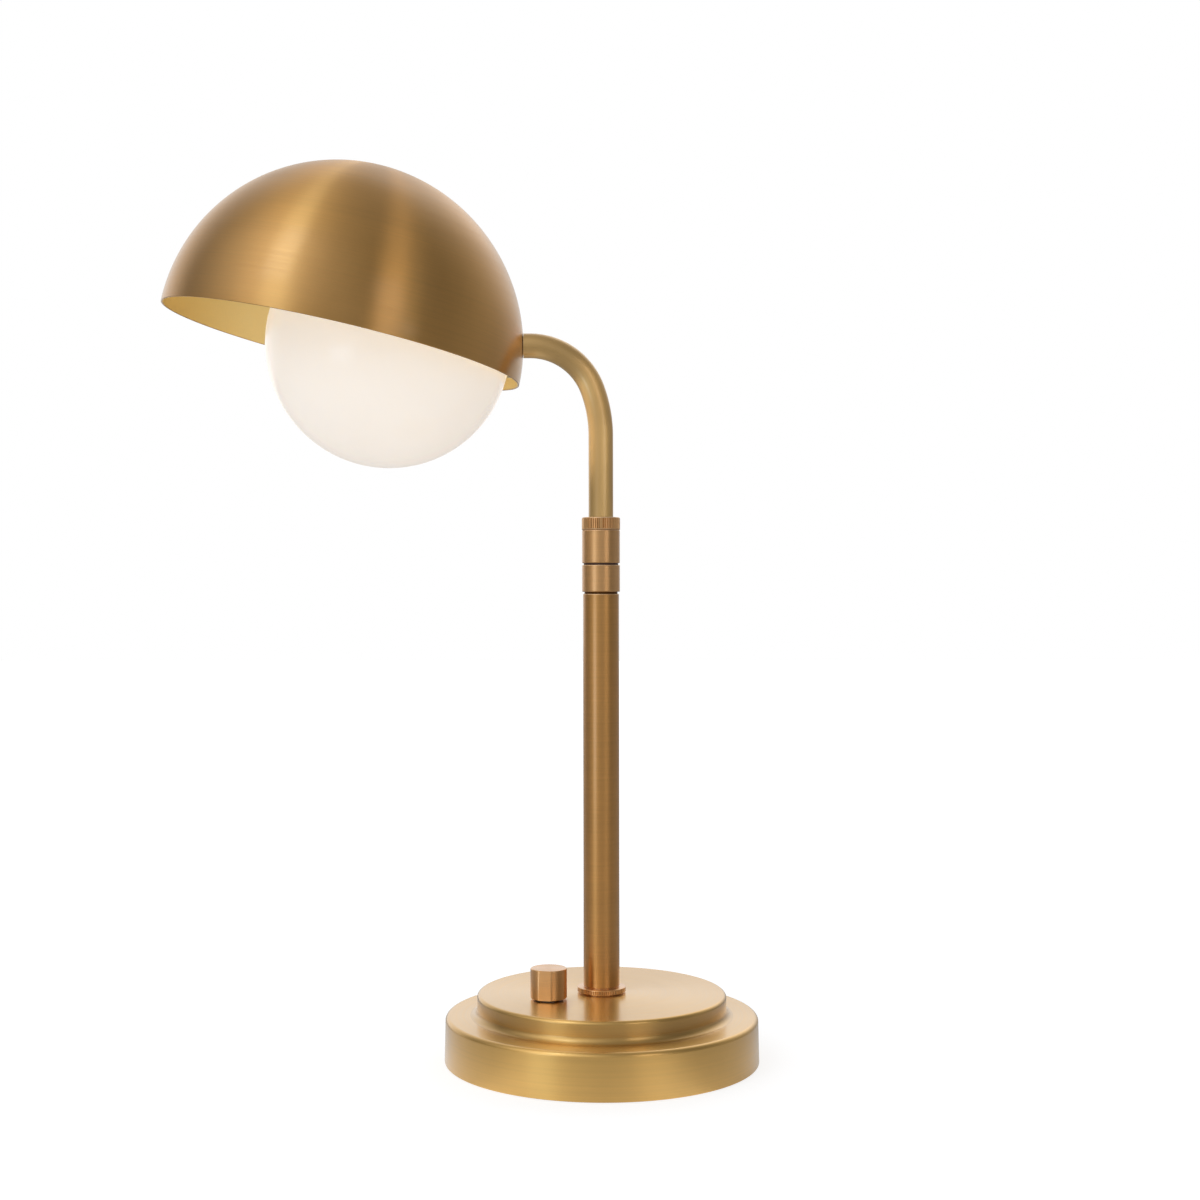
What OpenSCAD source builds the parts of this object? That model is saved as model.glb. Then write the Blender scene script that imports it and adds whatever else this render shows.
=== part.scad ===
// Dome shade desk lamp: a half-ball metal shade over an opal globe, on a bent arm
// that slides and swivels in a collar at the top of a post, with a dimmer knob on
// a two-tier weighted base.
//
// Frame: millimetres, +Z up. The origin is the centre of the felt that the lamp
// stands on. The arm and the head point to -X, and the dimmer knob is on the -Y side.

/* [Base] */
// Diameter of the base at its foot
base_d = 165.2; // [150:0.2:190]
// How much narrower the lower wall is at its top edge
base_draft = 1; // [0:0.1:2]
// Height of the lower tier above the table
step_h = 24; // [20:0.1:25]
// Diameter of the upper tier
tier_d = 131; // [118:0.2:140]
// Height of the upper tier above the table
base_h = 35.2; // [34:0.1:42]
// Round on the lower tier's top edge
step_round = 2.2; // [1.4:0.1:3]
// Round on the upper tier's top edge
tier_round = 1.8; // [1.4:0.1:3]
// Hollow round where the upper tier rises from the lower one
cove_round = 3.6; // [1:0.1:5]
// Thickness of the spun cover
cover_wall = 1.2; // [0.8:0.1:1.3]
// Gap between the cover's edge and the table
foot_gap = 0.4; // [0.2:0.1:1]
// Thickness of the felt
felt_t = 2; // [1.5:0.1:3]
// Thickness of the steel bottom plate
plate_t = 1.2; // [1:0.1:2]
// Air between the cover's step and the weight
weight_air = 1.4; // [0.5:0.1:3]
// Diameter of the circle of bottom plate screws
screw_circle_d = 120; // [80:1:130]

/* [Cord inlet] */
// Diameter of the cord that the inlet takes
cord_d = 7; // [5:0.5:8]
// Height of the inlet's centre
inlet_z = 11; // [9:0.5:12]

/* [Post] */
// Diameter of the post
post_d = 19; // [17:0.1:22]
// Wall of the post tube
post_wall = 1.2; // [1:0.1:1.4]
// Height of the post's top edge
post_top = 245.2; // [200:0.2:300]
// Diameter of the knurled ring at the post's foot
foot_ring_d = 25.4; // [23:0.1:32]
// Height of the knurled band of that ring
foot_ring_h = 2.6; // [2:0.1:5]
// Shadow gap under the knurled band
foot_relief = 0.6; // [0.4:0.1:1.5]
// Teeth of the foot ring's knurl
foot_ring_teeth = 72; // [48:4:96]
// Outside diameter of the hollow screw that holds the post
stud_d = 10; // [9:0.5:11]

/* [Collar] */
// Outside diameter of the collar
collar_d = 20; // [18.6:0.1:24]
// Height of the lower sleeve, which is fixed to the post
sleeve_h = 14.1; // [10:0.1:20]
// Height of the upper sleeve, which turns
swivel_h = 17.3; // [14:0.1:22]
// Height of the knurled lock ring
lock_h = 6.8; // [6:0.1:10]
// Height of the two shadow grooves
groove_h = 1; // [0.8:0.1:2.5]
// Teeth of the lock ring's knurl
lock_teeth = 60; // [48:4:96]
// Depth of the knurls
knurl_depth = 0.35; // [0.2:0.05:0.5]
// Half of the angle through which the arm swivels
swivel_limit = 170; // [90:5:170]

/* [Arm] */
// Diameter of the arm tube
arm_d = 13; // [12:0.1:13.4]
// Wall of the arm tube
arm_wall = 1.1; // [0.8:0.1:1.2]
// Height of the arm's horizontal end
arm_z = 376; // [340:0.5:420]
// Radius of the wide first part of the bend
bend_wide_r = 72; // [60:1:90]
// Angle of the wide first part of the bend
bend_wide_angle = 20; // [10:1:25]
// Radius of the tight second part of the bend
bend_tight_r = 35; // [28:0.5:38]
// Straight length between the bend and the shade
arm_straight = 3.5; // [2:0.1:12]
// Height of the arm's lower end, inside the post
arm_foot = 135; // [100:1:150]
// How far the arm slides up
arm_rise = 80; // [40:5:80]
// Diameter of the flexible lead inside the lamp
lead_d = 4.5; // [3:0.1:5]

/* [Shade] */
// Outside diameter of the shade
shade_d = 191; // [180:1:210]
// Thickness of the spun shade
shade_wall = 0.9; // [0.7:0.1:1.2]
// Angle by which the shade's rim slopes down to the post
shade_tilt = 12.2; // [5:0.1:20]
// Outside diameter of the hollow screw that holds the shade
nipple_d = 8; // [7:0.5:8.5]

/* [Globe and lamp] */
// Outside diameter of the opal globe
globe_d = 128.6; // [115:0.2:130]
// Thickness of the glass
globe_wall = 2.5; // [1.5:0.1:3]
// Outside diameter of the globe's neck
neck_d = 30; // [28:0.5:34]
// Gap between the globe and the shade, on the arm's line
globe_gap = 6; // [5.6:0.1:8]
// Diameter of the lampholder
holder_d = 19; // [17:0.5:21]
// Length of the lampholder
holder_h = 22; // [16:1:26]
// Diameter of the lamp
bulb_d = 16; // [14:0.5:18]
// Length of the lamp in front of its holder
bulb_h = 46; // [38:1:54]

/* [Knob and dimmer] */
// Diameter of the knob
knob_d = 19; // [17:0.5:22]
// Height of the knob
knob_h = 15.4; // [12:0.2:18]
// Shadow gap under the knob
knob_gap = 0.8; // [0.4:0.1:1.5]
// Distance from the post to the knob
knob_reach = 32.2; // [28:0.1:36]
// Angle from the arm to the knob, seen from above
knob_angle = 30.6; // [5:0.1:40]
// Depth of the flat that marks the knob's setting
knob_flat = 0.8; // [0.4:0.1:1.2]
// Side of the square dimmer
dimmer_w = 26; // [22:1:28]

/* [Fits] */
// Radial clearance of a turning or sliding fit
run = 0.05; // [0.03:0.01:0.08]
// Radial clearance of a plain hole over a screw or stud
loose = 0.2; // [0.1:0.05:0.3]
// Clearance between two flat faces that turn on each other
face_gap = 0.05; // [0.03:0.01:0.1]
// Chamfer on turned edges
chamfer = 0.4; // [0.2:0.05:0.6]

/* [Hidden] */
$fn = 96;
eps = 0.5;

// Heights in the base
plate_z = felt_t;
weight_z = plate_z + plate_t;
weight_top = step_h - cover_wall - weight_air;
ceiling_z = base_h - cover_wall;
plate_d = base_d - 2 * cover_wall - 1.2;
weight_d = min(plate_d - 2, base_d - base_draft - 2 * cover_wall - 2 * step_round);
pit_top = weight_top - 3.2;
washer_t = 1.5;
nut_t = 4;
stud_foot = pit_top - washer_t - nut_t - 1;
pit_d = 28;
lead_z = weight_z + 0.3 + lead_d / 2;
bore_d = stud_d - 3.4;
screw_d = 3;
screw_l = 8;

// Heights on the post
ring_z = base_h + foot_relief;
ring_top = ring_z + foot_ring_h;
post_seat = 0.4;
post_foot = ring_top + post_seat;
post_in_d = post_d - 2 * post_wall;
plug_h = 12;
sleeve_z = post_top + groove_h;
sleeve_top = sleeve_z + sleeve_h;
swivel_z = sleeve_top + groove_h;
swivel_top = swivel_z + swivel_h;
lock_top = swivel_top + lock_h;

// The swivel: a journal on the lower sleeve, and a screw whose tip runs in its groove
journal_d = arm_d + 3;
journal_top = swivel_z + swivel_h * 0.6;
track_z = swivel_z + swivel_h * 0.27;
track_h = 2.2;
track_depth = 0.7;
tip_d = track_h - 2 * run;
arm_bore_d = arm_d + 0.6;
tip_half_angle = asin(tip_d / (journal_d - track_depth));
track_stop_angle = 180 - swivel_limit - tip_half_angle - 0.3;

// The clamp: a split collet in a cone, pressed down by the lock ring
lip_t = 1.6;
seat_z = journal_top + 2;
thread_d = arm_d + 3.6;
thread_top = lock_top - lip_t - 1;
collet_top = lock_top - lip_t - face_gap;
cone_low_d = arm_d + 1;
cone_high_d = arm_d + 2;
slit_w = 1;

// The arm
arm_in_d = arm_d - 2 * arm_wall;
bend_z = arm_z - bend_tight_r - (bend_wide_r - bend_tight_r) * sin(bend_wide_angle);
bend_x = bend_wide_r - (bend_wide_r - bend_tight_r) * cos(bend_wide_angle);
bush_h = 15;
spigot_foot = arm_foot + bush_h + arm_rise + 0.5;
coil_top = arm_foot - 0.3;
coil_h = 75;
coil_foot = arm_foot - coil_h;
coil_turns = 4;
coil_steps = 24;
coil_sides = 10;
bead = 0.1;

// Along the arm's line, as distances from the post
shade_r = shade_d / 2;
shade_in_r = shade_r - shade_wall;
shade_hole_d = nipple_d + 2 * loose;
arm_end = bend_x + arm_straight;
shade_reach = arm_end + face_gap + sqrt(pow(shade_r, 2) - pow(shade_hole_d / 2, 2));
globe_r = globe_d / 2;
globe_reach = shade_reach - shade_in_r + globe_gap + globe_r;
neck_in_d = neck_d - 2 * globe_wall;
cup_wall = 1.5;
cup_in_d = neck_d + 0.6;
cup_d = cup_in_d + 2 * cup_wall;
saddle_d = nipple_d + 10;
saddle_end = shade_reach - sqrt(pow(shade_in_r, 2) - pow(saddle_d / 2, 2)) + 0.9;
spring_t = 0.7;
spring_rise = 0.4;
cup_start = saddle_end + spring_t + spring_rise;
cup_floor = cup_start + cup_wall;
gasket_t = 0.8;
neck_end = cup_floor + gasket_t;
cup_end = globe_reach - sqrt(pow(globe_r, 2) - pow(cup_d / 2, 2)) - 0.6;
cup_nut_t = 2.5;
holder_start = cup_floor + cup_nut_t;
holder_end = holder_start + holder_h;
socket_depth = 4;
nipple_start = bend_x + 0.2;
nipple_end = holder_start + socket_depth - 0.5;
nipple_bore_d = lead_d + 0.8;
pin_d = 1.4;
pin_gap = 9;
pin_h = 8;
bulb_start = holder_end + 0.2;
bulb_cap_h = 8;

// The knob and the dimmer
knob_x = -knob_reach * cos(knob_angle);
knob_y = -knob_reach * sin(knob_angle);
knob_z = base_h + knob_gap;
knob_top = knob_z + knob_h;
knob_chamfer = 0.5;
flat_dir = -104;
shaft_d = 6;
shaft_top = knob_top - 4;
shaft_depth = 6;
thread_bush_d = 7;
thread_bush_top = base_h + 3.6;
knob_pocket_d = knob_d - 3.6;
knob_pocket_h = 4;
dimmer_h = min(12.5, ceiling_z - weight_top - 0.5);
dimmer_nut_t = 2;
grub_d = 3;

// The terminal block and the cord's bushing
block = [18, 12, 9];
block_y = 34;
bushing_flange_d = cord_d + 6;
bushing_barrel_d = cord_d + 3;
bushing_flange_t = 2;
bushing_in = 6;
cord_notch = [18, 16];
wire_d = 3.2;

// Colours
brass = [0.72, 0.55, 0.31];
bronze = [0.66, 0.47, 0.27];
gold = [0.83, 0.68, 0.36];
steel = [0.70, 0.70, 0.72];
iron = [0.22, 0.22, 0.23];
opal = [0.97, 0.95, 0.92];
ceramic = [0.93, 0.92, 0.88];
black = [0.09, 0.08, 0.08];
nylon = [0.25, 0.20, 0.16];
felt = [0.16, 0.13, 0.11];

// A ring or pipe that stands on the XY plane
module pipe(d_out, d_in, h) {
    difference() {
        cylinder(d = d_out, h = h);
        translate([0, 0, -eps]) cylinder(d = d_in, h = h + 2 * eps);
    }
}

// A turned ring with chamfered outer edges
module turned_ring(d_out, d_in, h, c = chamfer) {
    rotate_extrude()
        polygon([
            [d_in / 2, 0], [d_out / 2 - c, 0], [d_out / 2, c],
            [d_out / 2, h - c], [d_out / 2 - c, h], [d_in / 2, h]
        ]);
}

// A disc with straight knurling round it. The chamfered disc takes the tips off the teeth.
module knurled_disc(d, h, teeth) {
    crest = d / 2 + 0.06;
    intersection() {
        translate([0, 0, -eps]) linear_extrude(height = h + 2 * eps)
            polygon([
                for (i = [0:2 * teeth - 1])
                    let (r = crest - (i % 2) * knurl_depth, a = 180 * i / teeth)
                    [r * cos(a), r * sin(a)]
            ]);
        turned_ring(d, 0, h);
    }
}

// A six-sided nut, given its width across the flats
module hex_nut(flats, d_in, h) {
    difference() {
        cylinder(d = flats / cos(30), h = h, $fn = 6);
        translate([0, 0, -eps]) cylinder(d = d_in, h = h + 2 * eps);
    }
}

// What is cut from a corner at [x, z] to round it with radius r
module corner_cut(x, z, r) {
    translate([x - r, z - r])
        difference() {
            square(r + eps);
            circle(r = r);
        }
}

// Places its children on the arm's line: their +Z points out from the post
module on_arm(reach) {
    translate([-reach, 0, arm_z]) rotate([0, -90, 0]) children();
}

// Places its children at the knob
module at_knob(z) {
    translate([knob_x, knob_y, z]) children();
}

// The two-tier form of the cover, or of the hollow in it when inset by the wall
module cover_profile(inset) {
    low_r = base_d / 2 - inset;
    high_r = (base_d - base_draft) / 2 - inset;
    tier_r = tier_d / 2 - inset;
    step = step_h - inset;
    top = base_h - inset;
    cove = cove_round + inset;
    difference() {
        polygon([[0, foot_gap], [low_r, foot_gap], [high_r, step], [0, step]]);
        corner_cut(high_r, step, step_round - inset);
    }
    difference() {
        translate([0, foot_gap]) square([tier_r, top - foot_gap]);
        corner_cut(tier_r, top, tier_round - inset);
    }
    difference() {
        translate([tier_r - eps, step - eps]) square(cove + eps);
        translate([tier_r + cove, step + cove]) circle(r = cove);
    }
}

module base_cover() {
    color(brass)
        difference() {
            rotate_extrude() cover_profile(0);
            rotate_extrude() cover_profile(cover_wall);
            translate([0, 0, foot_gap - eps]) cylinder(d = base_d - 2 * cover_wall, h = 2 * eps);
            translate([0, 0, ceiling_z - eps]) cylinder(d = stud_d + 2 * loose, h = cover_wall + 2 * eps);
            at_knob(ceiling_z - eps)
                cylinder(d = thread_bush_d + 2 * loose, h = cover_wall + 2 * eps);
            translate([0, base_d / 2 - 5, inlet_z]) rotate([-90, 0, 0])
                cylinder(d = bushing_barrel_d + 2 * run, h = 10);
        }
}

module base_weight() {
    h = weight_top - weight_z;
    color(iron)
        difference() {
            translate([0, 0, weight_z]) cylinder(d = weight_d, h = h);
            translate([0, 0, weight_z - eps]) cylinder(d = stud_d + 2 * loose, h = h + 2 * eps);
            translate([0, 0, weight_z - eps]) cylinder(d = pit_d, h = pit_top - weight_z + eps);
            // Passage for the lead, from under the dimmer to the stud
            translate([0, 0, weight_z - eps]) rotate(180 + knob_angle)
                translate([0, -4.5, 0]) cube([knob_reach, 9, 9]);
            at_knob(weight_z - eps) cylinder(d = 9, h = h + 2 * eps);
            // Notch for the cord behind its bushing
            translate([-cord_notch.x / 2, weight_d / 2 - cord_notch.y, weight_z - eps])
                cube([cord_notch.x, cord_notch.y + eps, h + 2 * eps]);
            for (a = [30, 150, 270]) rotate(a)
                translate([screw_circle_d / 2, 0, weight_z - eps])
                    cylinder(d = screw_d, h = screw_l + eps);
        }
}

module bottom_plate() {
    color(steel)
        difference() {
            translate([0, 0, plate_z]) cylinder(d = plate_d, h = plate_t);
            for (a = [30, 150, 270]) rotate(a)
                translate([screw_circle_d / 2, 0, plate_z - 0.01])
                    cylinder(d1 = 2 * screw_d + 0.1, d2 = screw_d + 0.1, h = plate_t + 0.02);
        }
}

module plate_screws() {
    color(steel)
        for (a = [30, 150, 270]) rotate(a)
            translate([screw_circle_d / 2, 0, plate_z])
                difference() {
                    union() {
                        cylinder(d1 = 2 * screw_d, d2 = screw_d - 0.1, h = plate_t);
                        cylinder(d = screw_d - 0.1, h = plate_t + screw_l - 0.6);
                    }
                    for (turn = [0, 90]) rotate(turn)
                        translate([-1.4, -0.3, -eps]) cube([2.8, 0.6, 0.7 + eps]);
                }
}

module felt_pad() {
    color(felt) cylinder(d = plate_d - 1, h = felt_t);
}

module cord_bushing() {
    color(black)
        translate([0, base_d / 2 + 0.03, inlet_z]) rotate([-90, 0, 0])
            difference() {
                union() {
                    turned_ring(bushing_flange_d, cord_d, bushing_flange_t, 0.7);
                    translate([0, 0, -bushing_in]) cylinder(d = bushing_barrel_d, h = bushing_in + 1);
                    translate([0, 0, -bushing_in]) cylinder(d1 = bushing_barrel_d, d2 = bushing_barrel_d + 1.6, h = 2.4);
                }
                translate([0, 0, -bushing_in - eps])
                    cylinder(d = cord_d, h = bushing_in + bushing_flange_t + 2 * eps);
            }
}

module terminal_block() {
    color(ceramic)
        difference() {
            translate([-block.x / 2, block_y - block.y / 2, weight_top]) cube(block);
            for (x = [-6, 0, 6]) translate([x, block_y, weight_top + block.z - 3]) cylinder(d = 3.4, h = 4);
        }
}

// The pair of wires that joins the terminal block and the dimmer
module dimmer_lead() {
    start = -block.x / 2;
    bend = 6;
    z = weight_top + 0.2 + wire_d / 2;
    end_y = knob_y + dimmer_w / 2;
    color(black) {
        translate([start, block_y, z]) rotate([0, -90, 0])
            cylinder(d = wire_d, h = start - knob_x - bend);
        translate([knob_x + bend, block_y - bend, z]) rotate(90)
            rotate_extrude(angle = 90) translate([bend, 0]) circle(d = wire_d);
        translate([knob_x, block_y - bend, z]) rotate([90, 0, 0])
            cylinder(d = wire_d, h = block_y - bend - end_y);
    }
}

module dimmer_body() {
    color(black)
        difference() {
            union() {
                at_knob(ceiling_z - dimmer_h) translate([-dimmer_w / 2, -dimmer_w / 2, 0])
                    cube([dimmer_w, dimmer_w, dimmer_h]);
                at_knob(ceiling_z - eps) cylinder(d = thread_bush_d, h = thread_bush_top - ceiling_z + eps);
            }
            at_knob(ceiling_z - shaft_depth)
                cylinder(d = shaft_d + 2 * run, h = thread_bush_top - ceiling_z + shaft_depth + eps);
        }
}

module dimmer_nut() {
    color(steel) at_knob(base_h) hex_nut(10, thread_bush_d + 2 * run, dimmer_nut_t);
}

module base_spacer() {
    color(steel) translate([0, 0, weight_top]) pipe(stud_d + 8, stud_d + 2 * loose, ceiling_z - weight_top);
}

module post_stud() {
    color(steel) translate([0, 0, stud_foot]) pipe(stud_d, bore_d, post_foot + plug_h - 2 - stud_foot);
}

module stud_washer() {
    color(steel) translate([0, 0, pit_top - washer_t]) pipe(pit_d - 6, stud_d + 2 * loose, washer_t);
}

module stud_nut() {
    color(steel) translate([0, 0, pit_top - washer_t - nut_t]) hex_nut(stud_d + 6, stud_d + 2 * run, nut_t);
}

// The knurled ring stands on a narrower foot, and its top has a low seat for the post
module foot_ring() {
    color(bronze)
        difference() {
            union() {
                translate([0, 0, base_h]) cylinder(d = foot_ring_d - 3, h = foot_relief + eps);
                translate([0, 0, ring_z]) knurled_disc(foot_ring_d, foot_ring_h, foot_ring_teeth);
                translate([0, 0, ring_top - eps]) cylinder(d = post_d - 1.2, h = post_seat + eps);
            }
            translate([0, 0, base_h - eps]) cylinder(d = stud_d + 2 * loose, h = post_foot - base_h + 2 * eps);
        }
}

module post_plug() {
    color(steel) translate([0, 0, post_foot]) pipe(post_in_d - 2 * run, stud_d + 2 * run, plug_h);
}

module post_tube() {
    color(brass) translate([0, 0, post_foot]) pipe(post_d, post_in_d, post_top - post_foot);
}

// The lead goes down from the dimmer, under the weight, and up through the stud
module post_lead() {
    bend = 5;
    top = coil_foot - 0.3;
    dimmer_foot = ceiling_z - dimmer_h;
    color(black)
        rotate(180 + knob_angle) {
            translate([knob_reach, 0, lead_z + bend]) cylinder(d = lead_d, h = dimmer_foot - lead_z - bend);
            translate([knob_reach - bend, 0, lead_z + bend]) rotate([90, 0, 0])
                rotate([0, 0, -90]) rotate_extrude(angle = 90) translate([bend, 0]) circle(d = lead_d);
            translate([bend, 0, lead_z]) rotate([0, 90, 0]) cylinder(d = lead_d, h = knob_reach - 2 * bend);
            translate([bend, 0, lead_z + bend]) rotate([90, 0, 0])
                rotate([0, 0, 180]) rotate_extrude(angle = 90) translate([bend, 0]) circle(d = lead_d);
            translate([0, 0, lead_z + bend]) cylinder(d = lead_d, h = top - lead_z - bend);
        }
}

// The slack of the lead, coiled in the post below the arm so that the arm can rise
module slack_lead() {
    steps = coil_turns * coil_steps;
    color(black)
        polyhedron(
            points = [for (i = [0:steps]) for (j = [0:coil_sides - 1]) coil_point(i / steps, 360 * j / coil_sides)],
            faces = concat(
                [[for (j = [0:coil_sides - 1]) j]],
                [for (i = [0:steps - 1]) for (j = [0:coil_sides - 1]) for (half = [0, 1])
                    let (a = i * coil_sides, b = a + coil_sides, k = (j + 1) % coil_sides)
                    half == 0 ? [a + j, b + j, b + k] : [a + j, b + k, a + k]],
                [[for (j = [coil_sides - 1:-1:0]) steps * coil_sides + j]]
            )
        );
}

// The coil winds out from the post's axis and back to it; t runs from 0 at its foot to 1
function coil_r(t) = (post_in_d - lead_d - 1.2) / 4 * (1 - cos(180 * min(1, 4 * t, 4 * (1 - t))));
function coil_at(t) = [
    coil_r(t) * cos(360 * coil_turns * t), coil_r(t) * sin(360 * coil_turns * t),
    coil_foot + t * (coil_top - coil_foot)
];
function coil_point(t, a) =
    let (
        way = coil_at(t + 0.0005) - coil_at(t - 0.0005),
        ahead = way / norm(way),
        out = [cos(360 * coil_turns * t), sin(360 * coil_turns * t), 0],
        side = cross(ahead, out),
        up = side / norm(side)
    )
    coil_at(t) + lead_d / 2 * (cos(a) * cross(up, ahead) + sin(a) * up);

// The groove in which the swivel screw's tip runs, cut short by a stop
module swivel_track() {
    rotate(-90 + track_stop_angle)
        rotate_extrude(angle = 360 - 2 * track_stop_angle)
            translate([journal_d / 2 - track_depth, 0]) square([track_depth + 1, track_h]);
}

module lower_sleeve() {
    color(bronze)
        difference() {
            union() {
                translate([0, 0, spigot_foot]) cylinder(d = post_in_d - 2 * run, h = post_top - spigot_foot + eps);
                translate([0, 0, post_top]) cylinder(d = post_d - 1.6, h = groove_h + eps);
                translate([0, 0, sleeve_z]) turned_ring(collar_d, 1, sleeve_h);
                translate([0, 0, sleeve_top - eps]) cylinder(d = journal_d, h = journal_top - sleeve_top + eps);
            }
            translate([0, 0, spigot_foot - eps])
                cylinder(d = arm_bore_d, h = journal_top - spigot_foot + 2 * eps);
            translate([0, 0, track_z - track_h / 2]) swivel_track();
        }
}

module swivel_washer() {
    color(nylon) translate([0, 0, sleeve_top]) pipe(collar_d - 1.8, journal_d + 2 * run, groove_h - face_gap);
}

module swivel_sleeve() {
    color(bronze)
        difference() {
            union() {
                translate([0, 0, swivel_z]) turned_ring(collar_d, 1, swivel_h);
                translate([0, 0, swivel_top - eps]) cylinder(d = thread_d, h = thread_top - swivel_top + eps);
            }
            translate([0, 0, swivel_z - eps])
                cylinder(d = journal_d + 2 * run, h = journal_top - swivel_z + eps + 0.3);
            translate([0, 0, swivel_z]) cylinder(d = arm_bore_d, h = thread_top - swivel_z + eps);
            translate([0, 0, seat_z])
                cylinder(d1 = cone_low_d + 2 * run, d2 = cone_high_d + 2 * run, h = thread_top - seat_z + 0.01);
            translate([0, 0, track_z]) rotate([-90, 0, 0])
                cylinder(d = tip_d + 2 * run, h = collar_d);
        }
}

module swivel_screw() {
    start = journal_d / 2 - track_depth + run;
    color(steel)
        translate([0, start, track_z]) rotate([-90, 0, 0])
            difference() {
                cylinder(d = tip_d, h = collar_d / 2 - 0.25 - start);
                translate([0, 0, collar_d / 2 - start - 1.2]) cylinder(d = 1.2, h = 2, $fn = 6);
            }
}

module arm_collet() {
    h = collet_top - seat_z - 0.3;
    color(nylon)
        translate([0, 0, seat_z + 0.3])
            difference() {
                cylinder(d1 = cone_low_d, d2 = cone_high_d, h = h);
                translate([0, 0, -eps]) cylinder(d = arm_d + run, h = h + 2 * eps);
                for (a = [45, 135, 225]) rotate(a)
                    translate([0, -slit_w / 2, 2]) cube([arm_d, slit_w, h]);
                rotate(315) translate([0, -slit_w / 2, -eps]) cube([arm_d, slit_w, h + 2 * eps]);
            }
}

module lock_ring() {
    color(bronze)
        difference() {
            translate([0, 0, swivel_top]) knurled_disc(collar_d + 0.2, lock_h, lock_teeth);
            translate([0, 0, swivel_top - eps])
                cylinder(d = thread_d + 2 * run, h = lock_h - lip_t + eps);
            translate([0, 0, swivel_top]) cylinder(d = arm_bore_d, h = lock_h + eps);
            translate([0, 0, swivel_top - eps])
                cylinder(d = collar_d + 2, h = eps + face_gap);
        }
}

// A round bar of diameter d along the arm, from a height inside the post to a reach.
// Its four lengths meet in beads that are a hair wider than they are.
module along_arm(d, from_z, to_reach) {
    translate([0, 0, from_z]) cylinder(d = d, h = bend_z - bead - from_z);
    translate([-bend_wide_r, 0, bend_z]) rotate([90, 0, 0]) {
        bend_length(d, bend_wide_r, bend_wide_angle);
        rotate(bend_wide_angle) translate([bend_wide_r - bend_tight_r, 0, 0])
            bend_length(d, bend_tight_r, 90 - bend_wide_angle);
    }
    on_arm(bend_x + bead) cylinder(d = d, h = to_reach - bend_x - bead);
    on_arm(bend_x - 1.5 * bead) cylinder(d = d + 0.02, h = 3 * bead);
}

// One length of the bend, with the bead at its start
module bend_length(d, r, angle) {
    gap = bead / r * 180 / PI;
    rotate(gap) rotate_extrude(angle = angle - 2 * gap) translate([r, 0]) circle(d = d);
    translate([r, -1.5 * bead, 0]) rotate([-90, 0, 0]) cylinder(d = d + 0.02, h = 3 * bead);
}

module arm_tube() {
    color(brass)
        difference() {
            along_arm(arm_d, arm_foot, arm_end);
            along_arm(arm_in_d, arm_foot - eps, arm_end + eps);
        }
}

module guide_bush() {
    color(nylon) translate([0, 0, arm_foot]) pipe(post_in_d - 0.2, arm_d + run, bush_h);
}

module arm_plug() {
    color(brass) on_arm(nipple_start) pipe(arm_in_d - run, nipple_d + run, arm_end - nipple_start);
}

module arm_nipple() {
    color(steel) on_arm(nipple_start) pipe(nipple_d, nipple_bore_d, nipple_end - nipple_start);
}

module arm_lead() {
    color(black) along_arm(lead_d, arm_foot, nipple_end + 0.4);
}

// Its back is a part of a ball, so that the shade turns on it
module saddle_washer() {
    low_r = nipple_d / 2 + run;
    color(nylon)
        on_arm(arm_end)
            rotate_extrude()
                intersection() {
                    translate([low_r, 0]) square([saddle_d / 2 - low_r, saddle_end - arm_end]);
                    translate([0, shade_reach - arm_end]) circle(r = shade_in_r - face_gap, $fn = 720);
                }
}

// A coned spring washer, which presses the saddle against the shade
module spring_washer() {
    in_r = nipple_d / 2 + loose;
    out_r = saddle_d / 2 - 1;
    color(steel)
        on_arm(saddle_end)
            rotate_extrude()
                polygon([
                    [in_r, 0], [out_r, spring_rise], [out_r, spring_rise + spring_t], [in_r, spring_t]
                ]);
}

module globe_cup() {
    color(gold)
        on_arm(cup_start)
            difference() {
                cylinder(d = cup_d, h = cup_end - cup_start);
                translate([0, 0, cup_wall]) cylinder(d = cup_in_d, h = 20);
                translate([0, 0, -eps]) cylinder(d = nipple_d + 2 * run, h = 10);
            }
}

module cup_nut() {
    color(steel) on_arm(cup_floor) hex_nut(nipple_d + 5, nipple_d + 2 * run, cup_nut_t);
}

module globe_gasket() {
    color(black) on_arm(cup_floor) pipe(neck_d, neck_in_d, gasket_t);
}

module globe() {
    color(opal)
        difference() {
            union() {
                translate([-globe_reach, 0, arm_z]) sphere(r = globe_r);
                on_arm(neck_end) cylinder(d = neck_d, h = 10);
            }
            translate([-globe_reach, 0, arm_z]) sphere(r = globe_r - globe_wall);
            on_arm(neck_end - eps) cylinder(d = neck_in_d, h = 14);
        }
}

module lampholder() {
    color(ceramic)
        on_arm(holder_start)
            difference() {
                union() {
                    cylinder(d = holder_d, h = holder_h - 1);
                    cylinder(d = holder_d - 2, h = holder_h);
                }
                translate([0, 0, -eps]) cylinder(d = nipple_d + 2 * run, h = socket_depth + eps);
                for (y = [-pin_gap / 2, pin_gap / 2])
                    translate([0, y, holder_h - pin_h - 1]) cylinder(d = pin_d + 2 * loose, h = 12);
            }
}

module bulb_cap() {
    color(ceramic)
        on_arm(bulb_start) {
            difference() {
                cylinder(d = bulb_d - 1, h = bulb_cap_h);
                translate([0, 0, bulb_cap_h - 2]) cylinder(d = bulb_d - 5.9, h = 4);
            }
            for (y = [-pin_gap / 2, pin_gap / 2])
                translate([0, y, -pin_h]) cylinder(d = pin_d, h = pin_h + 1);
        }
}

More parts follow.
